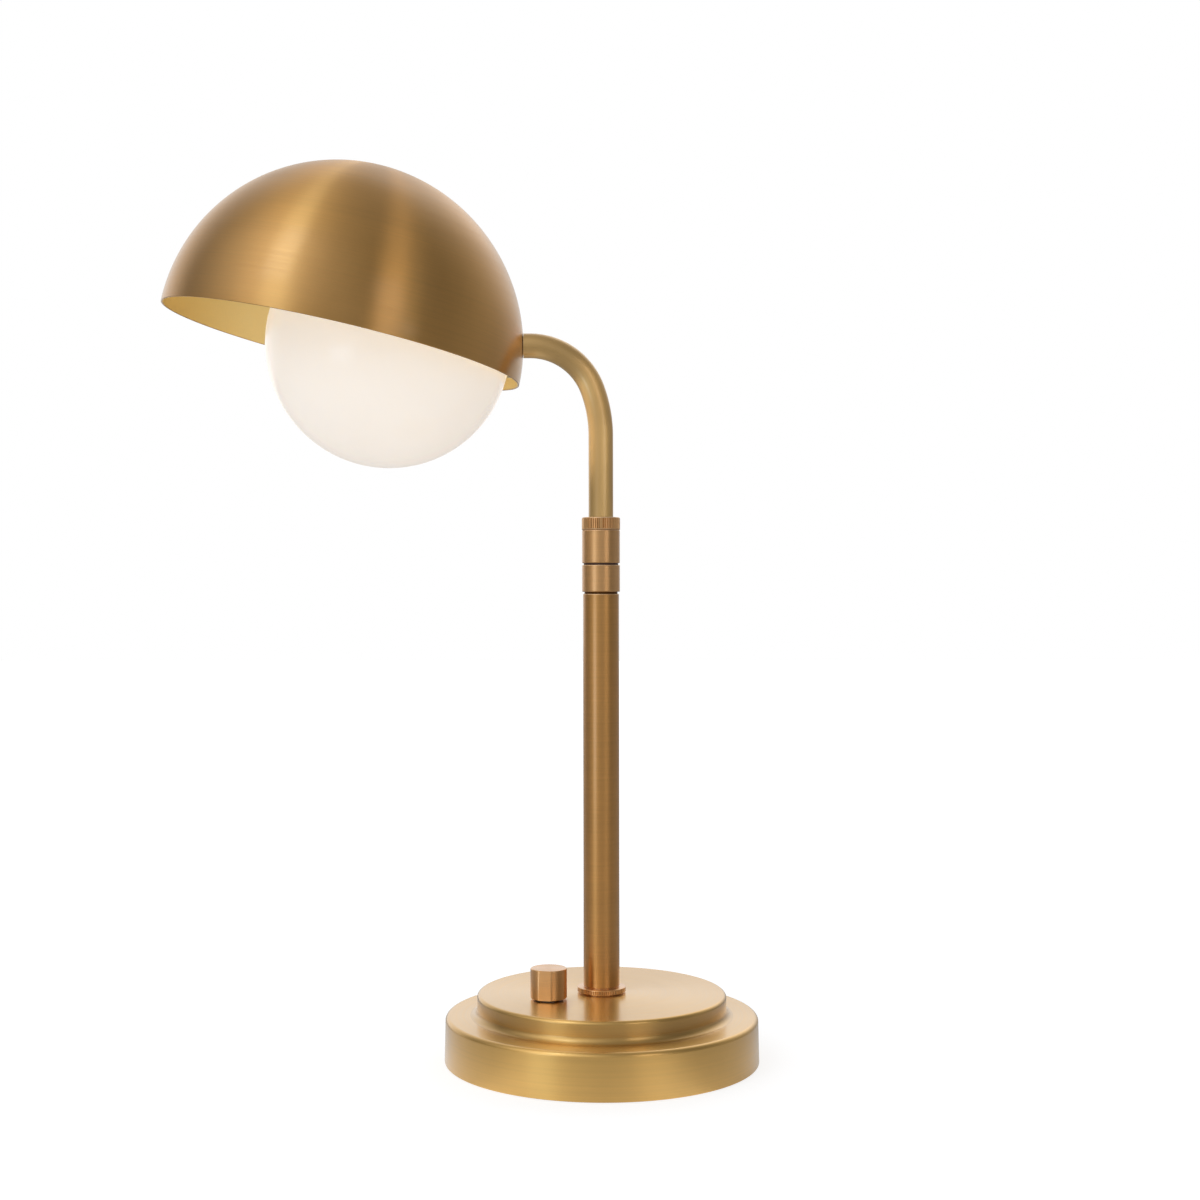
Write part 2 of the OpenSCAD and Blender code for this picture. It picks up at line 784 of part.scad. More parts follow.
// The lamp's clear cover, a tube with a round end
module bulb_envelope() {
    h = bulb_h - bulb_cap_h - bulb_d / 2;
    color(opal)
        on_arm(bulb_start + bulb_cap_h)
            difference() {
                union() {
                    cylinder(d = bulb_d, h = h);
                    translate([0, 0, h]) sphere(d = bulb_d);
                }
                translate([0, 0, -bulb_d]) cylinder(d = 2 * bulb_d, h = bulb_d);
                translate([0, 0, -eps]) cylinder(d = bulb_d - 2, h = h + eps);
                translate([0, 0, h]) sphere(d = bulb_d - 2);
            }
}

// The column that carries the light-emitting chips
module bulb_core() {
    color(gold)
        on_arm(bulb_start + bulb_cap_h - 2) cylinder(d = bulb_d - 6, h = bulb_h - bulb_cap_h - bulb_d / 2);
}

module shade_dome() {
    color(brass)
        translate([-shade_reach, 0, arm_z])
            difference() {
                rotate([0, shade_tilt, 0])
                    difference() {
                        sphere(r = shade_r);
                        sphere(r = shade_in_r);
                        translate([0, 0, -shade_d]) cylinder(r = shade_d, h = shade_d);
                    }
                rotate([0, 90, 0]) cylinder(d = shade_hole_d, h = shade_d);
            }
}

module dimmer_knob() {
    color(bronze)
        at_knob(knob_z)
            difference() {
                turned_ring(knob_d, 0, knob_h, knob_chamfer);
                rotate(flat_dir) translate([knob_d / 2 - knob_flat, -knob_d, -eps])
                    cube([knob_d, 2 * knob_d, knob_h + 2 * eps]);
                translate([0, 0, -eps]) cylinder(d = knob_pocket_d, h = knob_pocket_h + eps);
                cylinder(d = shaft_d + run, h = shaft_top - knob_z + 0.3);
                translate([0, 0, knob_h - 7]) rotate([-90, 0, 0]) cylinder(d = grub_d + run, h = knob_d);
            }
}

module dimmer_shaft() {
    foot = ceiling_z - 5.5;
    color(steel) at_knob(foot) cylinder(d = shaft_d, h = shaft_top - foot);
}

module knob_screw() {
    start = shaft_d / 2 + 0.05;
    color(steel)
        at_knob(knob_top - 7) rotate([-90, 0, 0])
            difference() {
                translate([0, 0, start]) cylinder(d = grub_d, h = 5);
                translate([0, 0, start + 3.4]) cylinder(d = 1.6, h = 3, $fn = 6);
            }
}

base_cover();
base_weight();
bottom_plate();
plate_screws();
felt_pad();
cord_bushing();
terminal_block();
dimmer_lead();
dimmer_body();
dimmer_nut();
base_spacer();
post_stud();
stud_washer();
stud_nut();
foot_ring();
post_plug();
post_tube();
post_lead();
slack_lead();
lower_sleeve();
swivel_washer();
swivel_sleeve();
swivel_screw();
arm_collet();
lock_ring();
arm_tube();
guide_bush();
arm_plug();
arm_nipple();
arm_lead();
saddle_washer();
spring_washer();
globe_cup();
cup_nut();
globe_gasket();
globe();
lampholder();
bulb_cap();
bulb_envelope();
bulb_core();
shade_dome();
dimmer_knob();
dimmer_shaft();
knob_screw();
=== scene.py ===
"""A desk lamp: a half-ball brass shade over an opal globe, on a bent arm that slides and
swivels in a post's collar, with a dimmer knob on a stepped round base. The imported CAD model
is the frame. Each operator below makes a piece, or a group of like pieces, around it."""

import math

import bmesh
import bpy
import numpy as np
from bpy.props import FloatProperty, FloatVectorProperty, IntProperty, PointerProperty
from mathutils import Matrix, Vector


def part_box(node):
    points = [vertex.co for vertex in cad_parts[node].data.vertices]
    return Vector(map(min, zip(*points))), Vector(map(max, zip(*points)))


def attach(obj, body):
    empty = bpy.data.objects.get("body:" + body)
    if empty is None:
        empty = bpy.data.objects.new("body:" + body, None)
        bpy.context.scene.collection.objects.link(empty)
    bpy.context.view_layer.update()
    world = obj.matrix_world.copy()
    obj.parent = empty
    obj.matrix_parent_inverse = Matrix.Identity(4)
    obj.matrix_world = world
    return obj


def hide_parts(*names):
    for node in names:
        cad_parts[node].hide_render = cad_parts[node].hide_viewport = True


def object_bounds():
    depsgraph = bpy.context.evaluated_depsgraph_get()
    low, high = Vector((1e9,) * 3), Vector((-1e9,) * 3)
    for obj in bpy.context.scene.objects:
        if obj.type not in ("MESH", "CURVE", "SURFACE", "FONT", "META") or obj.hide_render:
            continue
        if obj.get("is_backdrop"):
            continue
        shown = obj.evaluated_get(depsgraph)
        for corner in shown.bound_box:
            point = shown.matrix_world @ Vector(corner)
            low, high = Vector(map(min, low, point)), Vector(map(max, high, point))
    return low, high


bl_info = {
    "name": "Dome Shade Desk Lamp",
    "version": (1, 0, 0),
    "blender": (4, 5, 0),
    "location": "3D View > Sidebar > Lamp",
    "description": "Dresses the packed desk lamp: shade, globe, arm, collar, post, base and knob",
    "category": "Object",
}

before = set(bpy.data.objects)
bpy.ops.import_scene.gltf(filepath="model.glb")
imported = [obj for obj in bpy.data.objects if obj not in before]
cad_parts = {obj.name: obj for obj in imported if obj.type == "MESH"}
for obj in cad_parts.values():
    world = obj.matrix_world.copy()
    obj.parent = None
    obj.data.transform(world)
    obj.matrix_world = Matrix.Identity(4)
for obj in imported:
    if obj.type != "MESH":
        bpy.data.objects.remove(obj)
CAD_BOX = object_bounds()

MM = 0.001
UP = Vector((0, 0, 1))
ROUND_STEPS = 8
HAIR = 1e-7  # metres: a gap too small to count

# The turner's usual sizes: the round of a hidden edge, of an eased edge, and the gap between
# parts that run in one another
BROKEN, EASED, RUNNING = 0.1 * MM, 0.2 * MM, 0.05 * MM


def linear(text):
    """An sRGB hex colour as linear red, green and blue."""
    parts = [int(text[i:i + 2], 16) / 255 for i in (1, 3, 5)]
    return [p / 12.92 if p <= 0.04045 else ((p + 0.055) / 1.055) ** 2.4 for p in parts]


# Places and sizes read from the frame

def half_width(node):
    low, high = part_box(node)
    return (high.y - low.y) / 2


def middle(node):
    low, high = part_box(node)
    return (low + high) / 2


def shade_frame():
    """The centre, radius and tilt of the half ball, from the CAD shade's box."""
    low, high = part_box("shade_dome")
    radius = half_width("shade_dome")
    centre = Vector((high.x - radius, 0, high.z - radius))
    return centre, radius, math.acos((centre.x - low.x) / radius)


SHADE_CENTRE, SHADE_RADIUS, SHADE_TILT = shade_frame()
SHADE_AXIS = Vector((math.sin(SHADE_TILT), 0, math.cos(SHADE_TILT)))
ARM_RADIUS = half_width("arm_tube")
ARM_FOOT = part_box("arm_tube")[0].z
ARM_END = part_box("arm_tube")[0].x
ARM_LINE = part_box("arm_tube")[1].z - ARM_RADIUS
GLOBE_RADIUS = half_width("globe")
GLOBE_CENTRE = Vector((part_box("globe")[0].x + GLOBE_RADIUS, 0, ARM_LINE))
BASE_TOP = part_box("base_cover")[1].z
BASE_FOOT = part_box("base_cover")[0].z
BASE_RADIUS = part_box("base_cover")[1].x
POST_FOOT, POST_TOP = (corner.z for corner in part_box("post_tube"))
POST_RADIUS = half_width("post_tube")
KNOB_LOW, KNOB_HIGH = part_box("dimmer_knob")
KNOB_RADIUS = (KNOB_HIGH.x - KNOB_LOW.x) / 2
KNOB_CENTRE = Vector((KNOB_LOW.x + KNOB_RADIUS, KNOB_HIGH.y - KNOB_RADIUS, 0))
INLET_Z = middle("cord_bushing").z
JOURNAL_RADIUS = half_width("swivel_washer") - 1.1 * MM  # the washer is 1.1 mm wide
THREAD_RADIUS = ARM_RADIUS + 1.8 * MM  # the thread under the lock ring, over the split collet
COLLAR_BORE = ARM_RADIUS + 0.3 * MM
STUD_HOLE = half_width("post_stud") + 0.2 * MM

# Radii of the holes drilled in the turned pieces, and a drill long enough for each of them
DIMMER_HOLE = 3.7 * MM
INLET_HOLE = 5.05 * MM
SWIVEL_SCREW_HOLE = 1.1 * MM
KNOB_SCREW_HOLE = 1.525 * MM
SHAFT_BORE = 3.05 * MM  # the knob runs on the dimmer's 6 mm shaft
DRILL_LENGTH = 12 * MM

# Which way the knob's flat and the lock ring's mark face, turned from the lamp's right side
KNOB_FACING, MARK_ANGLE = math.radians(-104), math.radians(-92)


# Properties: what a user would change

def length(name, text, mm):
    return FloatProperty(
        name=name, description=text, default=mm * MM, min=0, unit="LENGTH", precision=4,
    )


def colour(name, text, code):
    return FloatVectorProperty(
        name=name, description=text, default=linear(code), size=3, min=0, max=1, subtype="COLOR"
    )


class LampSizes(bpy.types.PropertyGroup):
    shade_wall: length("Shade wall", "Thickness of the spun shade", 0.9)
    shade_rim: length("Shade rim round", "Round on the shade's rim", 0.3)
    globe_wall: length("Globe wall", "Thickness of the opal glass", 2.5)
    arm_wall: length("Arm wall", "Wall of the arm tube", 1.1)
    bend_wide: length("Wide bend", "Radius of the arm's wide first bend", 72)
    bend_tight: length("Tight bend", "Radius of the arm's tight second bend", 35)
    bend_angle: FloatProperty(
        name="Wide bend angle", description="Angle of the arm's wide first bend",
        default=math.radians(20), subtype="ANGLE",
    )
    step_height: length("Lower tier height", "Height of the base's lower tier above the table", 24)
    tier_radius: length("Upper tier radius", "Radius of the base's upper tier", 65.5)
    step_round: length("Lower tier round", "Round on the lower tier's top edge", 2.4)
    tier_round: length("Upper tier round", "Round on the upper tier's top edge", 1.9)
    cove_round: length("Cove", "Hollow round at the foot of the upper tier", 3.6)
    cover_wall: length("Cover wall", "Thickness of the base's spun cover", 1.2)
    post_wall: length("Post wall", "Wall of the post tube", 1.2)
    groove: length("Groove", "Height of the groove under the collar", 1)
    groove_depth: length("Groove depth", "Depth of the groove under the collar", 0.8)
    ring_round: length("Ring round", "Round on the ends of the turned rings", 0.5)
    knurl_depth: length("Knurl depth", "Depth of the straight knurls", 0.35)
    lock_teeth: IntProperty(
        name="Lock ring teeth", description="Teeth of the lock ring", default=60, min=24,
    )
    foot_teeth: IntProperty(
        name="Foot ring teeth", description="Teeth of the foot ring", default=72, min=24,
    )
    knob_flat: length("Knob flat", "Depth of the flat that marks the knob's setting", 0.8)
    brush_pitch: length("Brush pitch", "Distance between the brushed lines that show", 1.1)


class LampColours(bpy.types.PropertyGroup):
    shade: colour("Shade brass", "Spun brass of the shade's outside", "#EAB366")
    shade_inside: colour("Shade inside", "Satin gold of the shade's inside", "#FBE6A8")
    base: colour("Base brass", "Spun brass of the base", "#ECBC67")
    post: colour("Post brass", "Brushed brass of the post", "#DEA358")
    collar: colour("Collar brass", "Turned brass of the collar and the knob", "#F0B876")
    arm: colour("Arm brass", "Satin brass of the bent arm", "#F9CB80")
    # Besides ageing the brass, this brown is painted as shade on the neck in the groove under the collar
    patina: colour("Patina", "Brown that ages the brass", "#6E4A28")
    # The rings' edges are given this pale brass as a painted highlight
    edge: colour("Worn edges", "Bare brass of the rings' edges, rubbed bright", "#EFCB9F")
    groove: colour("Groove brass", "Duller brass left in the grooves of the knurls", "#A8794A")
    opal: colour("Opal glass", "Warm white of the globe", "#E6E3DD")
    floor: colour("Floor", "Pale studio floor", "#A9A9A9")


# Shader nodes

def give(tree, node, inputs):
    """Gives a node's inputs their values or links."""
    for socket, value in inputs.items():
        if isinstance(value, bpy.types.NodeSocket):
            tree.links.new(value, node.inputs[socket])
        else:
            node.inputs[socket].default_value = value


def add(tree, kind, inputs=None, **settings):
    """Adds a shader node with its settings, and gives its inputs their values or links."""
    node = tree.nodes.new("ShaderNode" + kind)
    for key, value in settings.items():
        setattr(node, key, value)
    give(tree, node, inputs or {})
    return node


def material(name):
    """A new material and its node tree, with an output and a Principled shader joined."""
    made = bpy.data.materials.new(name)
    made.use_nodes = True
    tree = made.node_tree
    tree.nodes.clear()
    shader = add(tree, "BsdfPrincipled")
    add(tree, "OutputMaterial", {"Surface": shader.outputs["BSDF"]})
    return made, tree, shader


def rgba(three):
    return (*three, 1.0)


def turned_directions(tree, centre, axis):
    """For a surface turned on a lathe: where a point lies round the axis, how far it is along
    the outline, and the direction of the brushed lines in the world."""
    place = add(tree, "TexCoord").outputs["Object"]
    axis = tuple(axis)
    offset = add(
        tree, "VectorMath", {0: place, 1: tuple(centre)}, operation="SUBTRACT",
    ).outputs["Vector"]
    along = add(tree, "VectorMath", {0: offset, 1: axis}, operation="DOT_PRODUCT").outputs["Value"]
    axial = add(tree, "VectorMath", {0: axis, "Scale": along}, operation="SCALE").outputs["Vector"]
    radial = add(tree, "VectorMath", {0: offset, 1: axial}, operation="SUBTRACT").outputs["Vector"]
    reach = add(tree, "VectorMath", {0: radial}, operation="LENGTH").outputs["Value"]
    outward = add(tree, "VectorMath", {0: radial}, operation="NORMALIZE").outputs["Vector"]
    outline = add(tree, "Math", {0: along, 1: reach}, operation="SUBTRACT").outputs[0]
    around = add(
        tree, "VectorMath", {0: axis, 1: outward}, operation="CROSS_PRODUCT",
    ).outputs["Vector"]
    tangent = add(
        tree, "VectorTransform", {"Vector": around},
        vector_type="VECTOR", convert_from="OBJECT", convert_to="WORLD",
    ).outputs["Vector"]
    return outward, outline, tangent


def brush_gloss(along, across):
    """The roughness and anisotropy that blur a highlight by so much along and across the lines."""
    return (along * across) ** 0.25, (1 - max(along / across, 0.1)) / 0.9


def brushed_brass(name, tint, patina, centre, axis, blur, pitch, streak=0.5, coat=1.0):
    """Brass brushed on a lathe, aged and lacquered: fine lines run round the axis, so highlights
    stretch across them, a brown patina clouds it a little in patches of about 36 mm, and the
    lacquer pales its edges. The real lines are about 0.1 mm apart, and are drawn coarser here so
    that they show, with bands nine lines wide."""
    roughness, anisotropy = brush_gloss(*blur)
    made, tree, shader = material(name)
    outward, outline, tangent = turned_directions(tree, centre, axis)
    depth = 0.12 * streak
    turns = add(tree, "VectorMath", {0: outward, "Scale": 0.35}, operation="SCALE").outputs["Vector"]
    fine = add(tree, "Math", {0: outline, 1: 1 / pitch}, operation="MULTIPLY").outputs[0]
    wide = add(tree, "Math", {0: outline, 1: 1 / (9 * pitch)}, operation="MULTIPLY").outputs[0]
    lines = add(
        tree, "TexNoise",
        {"Vector": turns, "W": fine, "Scale": 1.0, "Detail": 3.0, "Roughness": 0.75},
        noise_dimensions="4D",
    ).outputs["Fac"]
    bands = add(
        tree, "TexNoise", {"Vector": turns, "W": wide, "Scale": 1.0, "Detail": 2.0},
        noise_dimensions="4D",
    ).outputs["Fac"]
    place = add(tree, "TexCoord").outputs["Object"]
    clouds = add(
        tree, "TexNoise", {"Vector": place, "Scale": 28.0, "Detail": 4.0, "Roughness": 0.6},
    ).outputs["Fac"]
    mottle = add(tree, "Mix", {0: 0.4, 2: clouds, 3: bands}, data_type="FLOAT").outputs[0]
    aged = add(
        tree, "MapRange",
        {"Value": mottle, "From Min": 0.35, "From Max": 0.7, "To Min": 0.0, "To Max": 0.1},
    ).outputs["Result"]
    patina_and_edge_highlight = add(
        tree, "Mix", {"Factor": aged, "A": rgba(tint), "B": rgba(patina)}, data_type="RGBA",
    ).outputs["Result"]
    shade = add(
        tree, "MapRange",
        {"Value": lines, "From Min": 0.25, "From Max": 0.75, "To Min": 1 - depth, "To Max": 1 + depth},
    ).outputs["Result"]
    lit = add(tree, "VectorMath", {0: patina_and_edge_highlight, "Scale": shade}, operation="SCALE").outputs["Vector"]
    rough = add(
        tree, "MapRange",
        {"Value": lines, "From Min": 0.3, "From Max": 0.7,
         "To Min": roughness - 0.04, "To Max": roughness + 0.05},
    ).outputs["Result"]
    raised = add(
        tree, "Bump", {"Height": lines, "Strength": depth, "Distance": 0.05 * MM},
    ).outputs["Normal"]
    give(tree, shader, {
        "Base Color": lit, "Roughness": rough, "Normal": raised, "Tangent": tangent,
        "Metallic": 1.0, "Anisotropic": anisotropy, "Anisotropic Rotation": 0.25,
    })
    lacquer(tree, shader, coat)
    return made


def lacquer(tree, shader, weight=1.0):
    """The clear lacquer that keeps the brass from tarnishing."""
    give(tree, shader, {"Coat Weight": weight, "Coat Roughness": 0.2, "Coat IOR": 1.5})


def ring_brass(context, name, centre=(0, 0, 0)):
    """The collar's, the foot ring's and the knob's brass, turned from bar with finer lines."""
    sizes, colours = context.scene.lamp_sizes, context.scene.lamp_colours
    return brushed_brass(
        name, colours.collar, colours.patina, centre, UP,
        blur=(0.085, 0.24), pitch=0.7 * sizes.brush_pitch,
    )


def drawn_brass(name, tint, patina, radius, blur, pitch=0.5 * MM):
    """Brass tube rubbed along its length with a fine abrasive, aged and lacquered: faint lines
    run along it, and highlights spread round it. The real lines are finer than drawn here, and
    the patina's clouds are about 25 mm wide."""
    made, tree, shader = material(name)
    wound = add(tree, "SeparateXYZ", {"Vector": add(tree, "TexCoord").outputs["UV"]}).outputs
    angle = add(tree, "Math", {0: wound["X"], 1: 2 * math.pi}, operation="MULTIPLY").outputs[0]
    across = add(tree, "Math", {0: angle}, operation="COSINE").outputs[0]
    over = add(tree, "Math", {0: angle}, operation="SINE").outputs[0]
    ring = add(tree, "CombineXYZ", {"X": across, "Y": over, "Z": wound["Y"]}).outputs["Vector"]
    stretched = add(
        tree, "VectorMath", {0: ring, 1: (radius / pitch, radius / pitch, 1 / (60 * pitch))},
        operation="MULTIPLY",
    ).outputs["Vector"]
    lines = add(
        tree, "TexNoise", {"Vector": stretched, "Scale": 1.0, "Detail": 3.0, "Roughness": 0.6},
    ).outputs["Fac"]
    place = add(tree, "TexCoord").outputs["Object"]
    clouds = add(
        tree, "TexNoise", {"Vector": place, "Scale": 1 / (25 * MM), "Detail": 3.0},
    ).outputs["Fac"]
    aged = add(
        tree, "MapRange",
        {"Value": clouds, "From Min": 0.4, "From Max": 0.7, "To Min": 0.0, "To Max": 0.08},
    ).outputs["Result"]
    patina_and_edge_highlight = add(
        tree, "Mix", {"Factor": aged, "A": rgba(tint), "B": rgba(patina)}, data_type="RGBA",
    ).outputs["Result"]
    shade = add(
        tree, "MapRange",
        {"Value": lines, "From Min": 0.3, "From Max": 0.7, "To Min": 0.97, "To Max": 1.03},
    ).outputs["Result"]
    lit = add(tree, "VectorMath", {0: patina_and_edge_highlight, "Scale": shade}, operation="SCALE").outputs["Vector"]
    roughness, anisotropy = brush_gloss(*blur)
    rough = add(
        tree, "MapRange",
        {"Value": lines, "From Min": 0.3, "From Max": 0.7,
         "To Min": roughness - 0.03, "To Max": roughness + 0.03},
    ).outputs["Result"]
    tangent = add(tree, "Tangent", direction_type="UV_MAP", uv_map="wound").outputs["Tangent"]
    give(tree, shader, {
        "Base Color": lit, "Roughness": rough, "Tangent": tangent,
        "Metallic": 1.0, "Anisotropic": anisotropy,
    })
    lacquer(tree, shader)
    return made


def patina_and_groove_shade(name, patina):
    """Dark satin brass for grooves: the brown patina left in a knurl's grooves where no brush reaches,
    and painted shade in the groove under the collar.
    """
    return satin_metal(name, patina, roughness=0.55, variation=0.15, grain=0.5 * MM)


def edge_highlight_brass(tint):
    """A painted highlight for the rings' edges: pale brass with a soft gloss, in place of the light their
    rounds catch.
    """
    return satin_metal("painted_edge_highlight", tint, roughness=0.45, variation=0.05, grain=0.5 * MM)


def satin_metal(name, tint, roughness, variation, grain=0.8 * MM, bump=0.05, metallic=1.0):
    """Metal with an even satin surface: a fine grain, with clouds 25 times as wide, changes its
    gloss and colour a little."""
    made, tree, shader = material(name)
    place = add(tree, "TexCoord").outputs["Object"]
    fine = add(
        tree, "TexNoise", {"Vector": place, "Scale": 1 / grain, "Detail": 3.0, "Roughness": 0.6},
    ).outputs["Fac"]
    broad = add(
        tree, "TexNoise", {"Vector": place, "Scale": 0.04 / grain, "Detail": 3.0},
    ).outputs["Fac"]
    both = add(tree, "Mix", {0: 0.5, 2: fine, 3: broad}, data_type="FLOAT").outputs[0]
    shade = add(
        tree, "MapRange",
        {"Value": both, "From Min": 0.3, "From Max": 0.7,
         "To Min": 1 - variation, "To Max": 1 + variation},
    ).outputs["Result"]
    lit = add(
        tree, "VectorMath", {0: tuple(tint), "Scale": shade}, operation="SCALE",
    ).outputs["Vector"]
    rough = add(
        tree, "MapRange",
        {"Value": both, "From Min": 0.3, "From Max": 0.7,
         "To Min": roughness * 0.85, "To Max": roughness * 1.15},
    ).outputs["Result"]
    raised = add(
        tree, "Bump", {"Height": fine, "Strength": bump, "Distance": 0.05 * MM},
    ).outputs["Normal"]
    give(tree, shader, {
        "Base Color": lit, "Roughness": rough, "Normal": raised, "Metallic": metallic,
    })
    return made


def moulded(name, code, roughness, ior, grain, variation=0.1, bump=0.3, sheen=0.0):
    """A non-metal with a grain of its own: rubber, nylon, hard plastic, fired clay or felt."""
    made = satin_metal(name, linear(code), roughness, variation, grain, bump, metallic=0.0)
    shader = next(n for n in made.node_tree.nodes if n.type == "BSDF_PRINCIPLED")
    give(made.node_tree, shader, {"IOR": ior, "Sheen Weight": sheen})
    return made


def opal_glass(tint):
    """Cased opal glass, blown and fire-polished: milky inside, in clouds of about 45 mm, with a
    smooth clear skin. It has a painted glow that brightens the milky glass; the small lamp inside gives
    no light."""
    made, tree, shader = material("opal_glass")
    place = add(tree, "TexCoord").outputs["Object"]
    milk = add(tree, "TexNoise", {"Vector": place, "Scale": 22.0, "Detail": 2.0}).outputs["Fac"]
    tone = add(
        tree, "MapRange",
        {"Value": milk, "From Min": 0.3, "From Max": 0.7, "To Min": 0.985, "To Max": 1.0},
    ).outputs["Result"]
    lit = add(
        tree, "VectorMath", {0: tuple(tint), "Scale": tone}, operation="SCALE",
    ).outputs["Vector"]
    # Blown glass is never quite flat: it has ripples of about 33 mm, which only the gloss shows
    ripple = add(tree, "TexNoise", {"Vector": place, "Scale": 30.0, "Detail": 1.0}).outputs["Fac"]
    wavy = add(
        tree, "Bump", {"Height": ripple, "Strength": 0.05, "Distance": 0.1 * MM},
    ).outputs["Normal"]
    give(tree, shader, {
        "Base Color": lit, "Normal": wavy, "Roughness": 0.2, "IOR": 1.5,
        "Subsurface Weight": 0.6, "Subsurface Radius": (1.0, 0.9, 0.75), "Subsurface Scale": 8 * MM,
        # Painted glow: the glass gives off light of its own
        "Emission Color": rgba(linear("#FFF4EA")), "Emission Strength": 0.38,
    })
    return made


def clear_glass():
    """Clear borosilicate glass of the small lamp inside the globe, blown, with a faint haze in
    patches of about 6 mm."""
    made, tree, shader = material("clear_glass")
    place = add(tree, "TexCoord").outputs["Object"]
    haze = add(tree, "TexNoise", {"Vector": place, "Scale": 180.0, "Detail": 2.0}).outputs["Fac"]
    rough = add(
        tree, "MapRange",
        {"Value": haze, "From Min": 0.3, "From Max": 0.7, "To Min": 0.01, "To Max": 0.06},
    ).outputs["Result"]
    give(tree, shader, {
        "Base Color": rgba(linear("#F6F8F6")), "Roughness": rough, "IOR": 1.47,
        "Transmission Weight": 1.0,
    })
    return made


# Meshes

def rounded(corners, steps=ROUND_STEPS):
    """The points of a closed outline whose corners (across, up, radius) are rounded, each with
    its outward normal. The corners run anticlockwise, with across to the right and up."""
    outline = []
    for i, (across, up, radius) in enumerate(corners):
        here = Vector((across, up))
        came = (here - Vector(corners[i - 1][:2])).normalized()
        goes = (Vector(corners[(i + 1) % len(corners)][:2]) - here).normalized()
        turn = math.atan2(came.x * goes.y - came.y * goes.x, came.dot(goes))
        bulge = 1 if turn > 0 else -1
        normal = Vector((came.y, -came.x))
        start = here - came * radius * math.tan(abs(turn) / 2)
        centre = start - normal * radius * bulge
        for k in range(steps + 1):
            out = Matrix.Rotation(turn * k / steps, 2) @ normal
            outline.append((centre + out * radius * bulge, out))
    return outline


def spaced(start, end, steps):
    """Evenly spaced values from a start up to an end, without the end."""
    return [start + (end - start) * k / steps for k in range(steps)]


def arc(centre, radius, start, end, steps, inward=False):
    """Points and normals along an arc of an outline, from one angle to another."""
    points = []
    for k in range(steps + 1):
        a = start + (end - start) * k / steps
        out = Vector((math.cos(a), math.sin(a)))
        points.append((Vector(centre) + out * radius, -out if inward else out))
    return points


def make_object(name, mesh, finishes):
    """An object in the scene for a mesh, with its materials."""
    for finish in finishes:
        mesh.materials.append(finish)
    piece = bpy.data.objects.new(name, mesh)
    bpy.context.scene.collection.objects.link(piece)
    return piece


def turned(name, outline, finishes, centre=(0, 0, 0), axis=UP, segments=192, paint=None, ribs=None):
    """A surface turned from a closed outline. paint gives the material's number for a stretch of
    the outline at an angle, and ribs the depth of a cut at an angle and height."""
    axis, centre = Vector(axis), Vector(centre)
    side = axis.orthogonal().normalized()
    if axis.z > 0.9:
        # The angles of an upright piece are counted from its right side
        side = (Vector((1, 0, 0)) - axis * axis.x).normalized()
    other = axis.cross(side)
    points, normals, rings = [], [], []
    for place, normal in outline:
        if place.x < HAIR:
            rings.append([len(points)] * segments)
            points.append(centre + axis * place.y)
            normals.append(axis * (1 if normal.y > 0 else -1))
            continue
        rings.append(range(len(points), len(points) + segments))
        for s in range(segments):
            a = 2 * math.pi * s / segments
            out = side * math.cos(a) + other * math.sin(a)
            cut = ribs(a, place.y) if ribs and normal.x > 0.3 else 0
            points.append(centre + out * (place.x - cut) + axis * place.y)
            normals.append(out * normal.x + axis * normal.y)
    faces, numbers = [], []
    for i, low in enumerate(rings):
        high = rings[(i + 1) % len(rings)]
        for s in range(segments):
            t = (s + 1) % segments
            corners = list(dict.fromkeys((low[s], low[t], high[t], high[s])))
            if len(corners) > 2:
                faces.append(corners)
                numbers.append(paint(i, 2 * math.pi * (s + 0.5) / segments) if paint else 0)
    mesh = bpy.data.meshes.new(name)
    mesh.from_pydata(points, [], faces)
    mesh.polygons.foreach_set("use_smooth", [True] * len(faces))
    mesh.polygons.foreach_set("material_index", numbers)
    mesh.validate()
    if ribs:
        mesh.set_sharp_from_angle(angle=math.radians(25))
    else:
        mesh.normals_split_custom_set_from_vertices(normals)
    return make_object(name, mesh, finishes)


def shade_as_turned(piece, outline, centre=(0, 0, 0), axis=UP):
    """After a cut, gives back each corner of a turned piece the outline's own normal, but for
    the corners of the cut's own faces, which lean too far from it."""
    mesh, axis, tiny, alike = piece.data, np.array(axis), 1e-9, 0.8
    start = np.array([p for p, _ in outline])
    normals = np.array([n for _, n in outline])
    step = np.roll(start, -1, 0) - start
    long = np.maximum((step ** 2).sum(1), tiny ** 2)
    co = np.zeros(len(mesh.vertices) * 3)
    mesh.vertices.foreach_get("co", co)
    offset = co.reshape(-1, 3) - np.array(centre)
    along = offset @ axis
    radial = offset - along[:, None] * axis
    reach = np.linalg.norm(radial, axis=1)
    # The stretch of the outline that each point is nearest to, and how far along it that is
    flat = np.stack([reach, along], 1)
    share = np.clip(((flat[:, None] - start) * step).sum(2) / long, 0, 1)
    gap = ((flat[:, None] - start - share[..., None] * step) ** 2).sum(2)
    best = gap.argmin(1)
    part = share[np.arange(len(best)), best][:, None]
    found = normals[best] * (1 - part) + np.roll(normals, -1, 0)[best] * part
    smooth = radial / np.maximum(reach, tiny)[:, None] * found[:, :1] + axis * found[:, 1:]
    smooth /= np.maximum(np.linalg.norm(smooth, axis=1), tiny)[:, None]
    chosen = []
    for face in mesh.polygons:
        for v in face.vertices:
            normal = Vector(smooth[v])
            chosen.append(normal if normal.dot(face.normal) > alike else face.normal.copy())
    mesh.polygons.foreach_set("use_smooth", [True] * len(mesh.polygons))
    mesh.normals_split_custom_set(chosen)


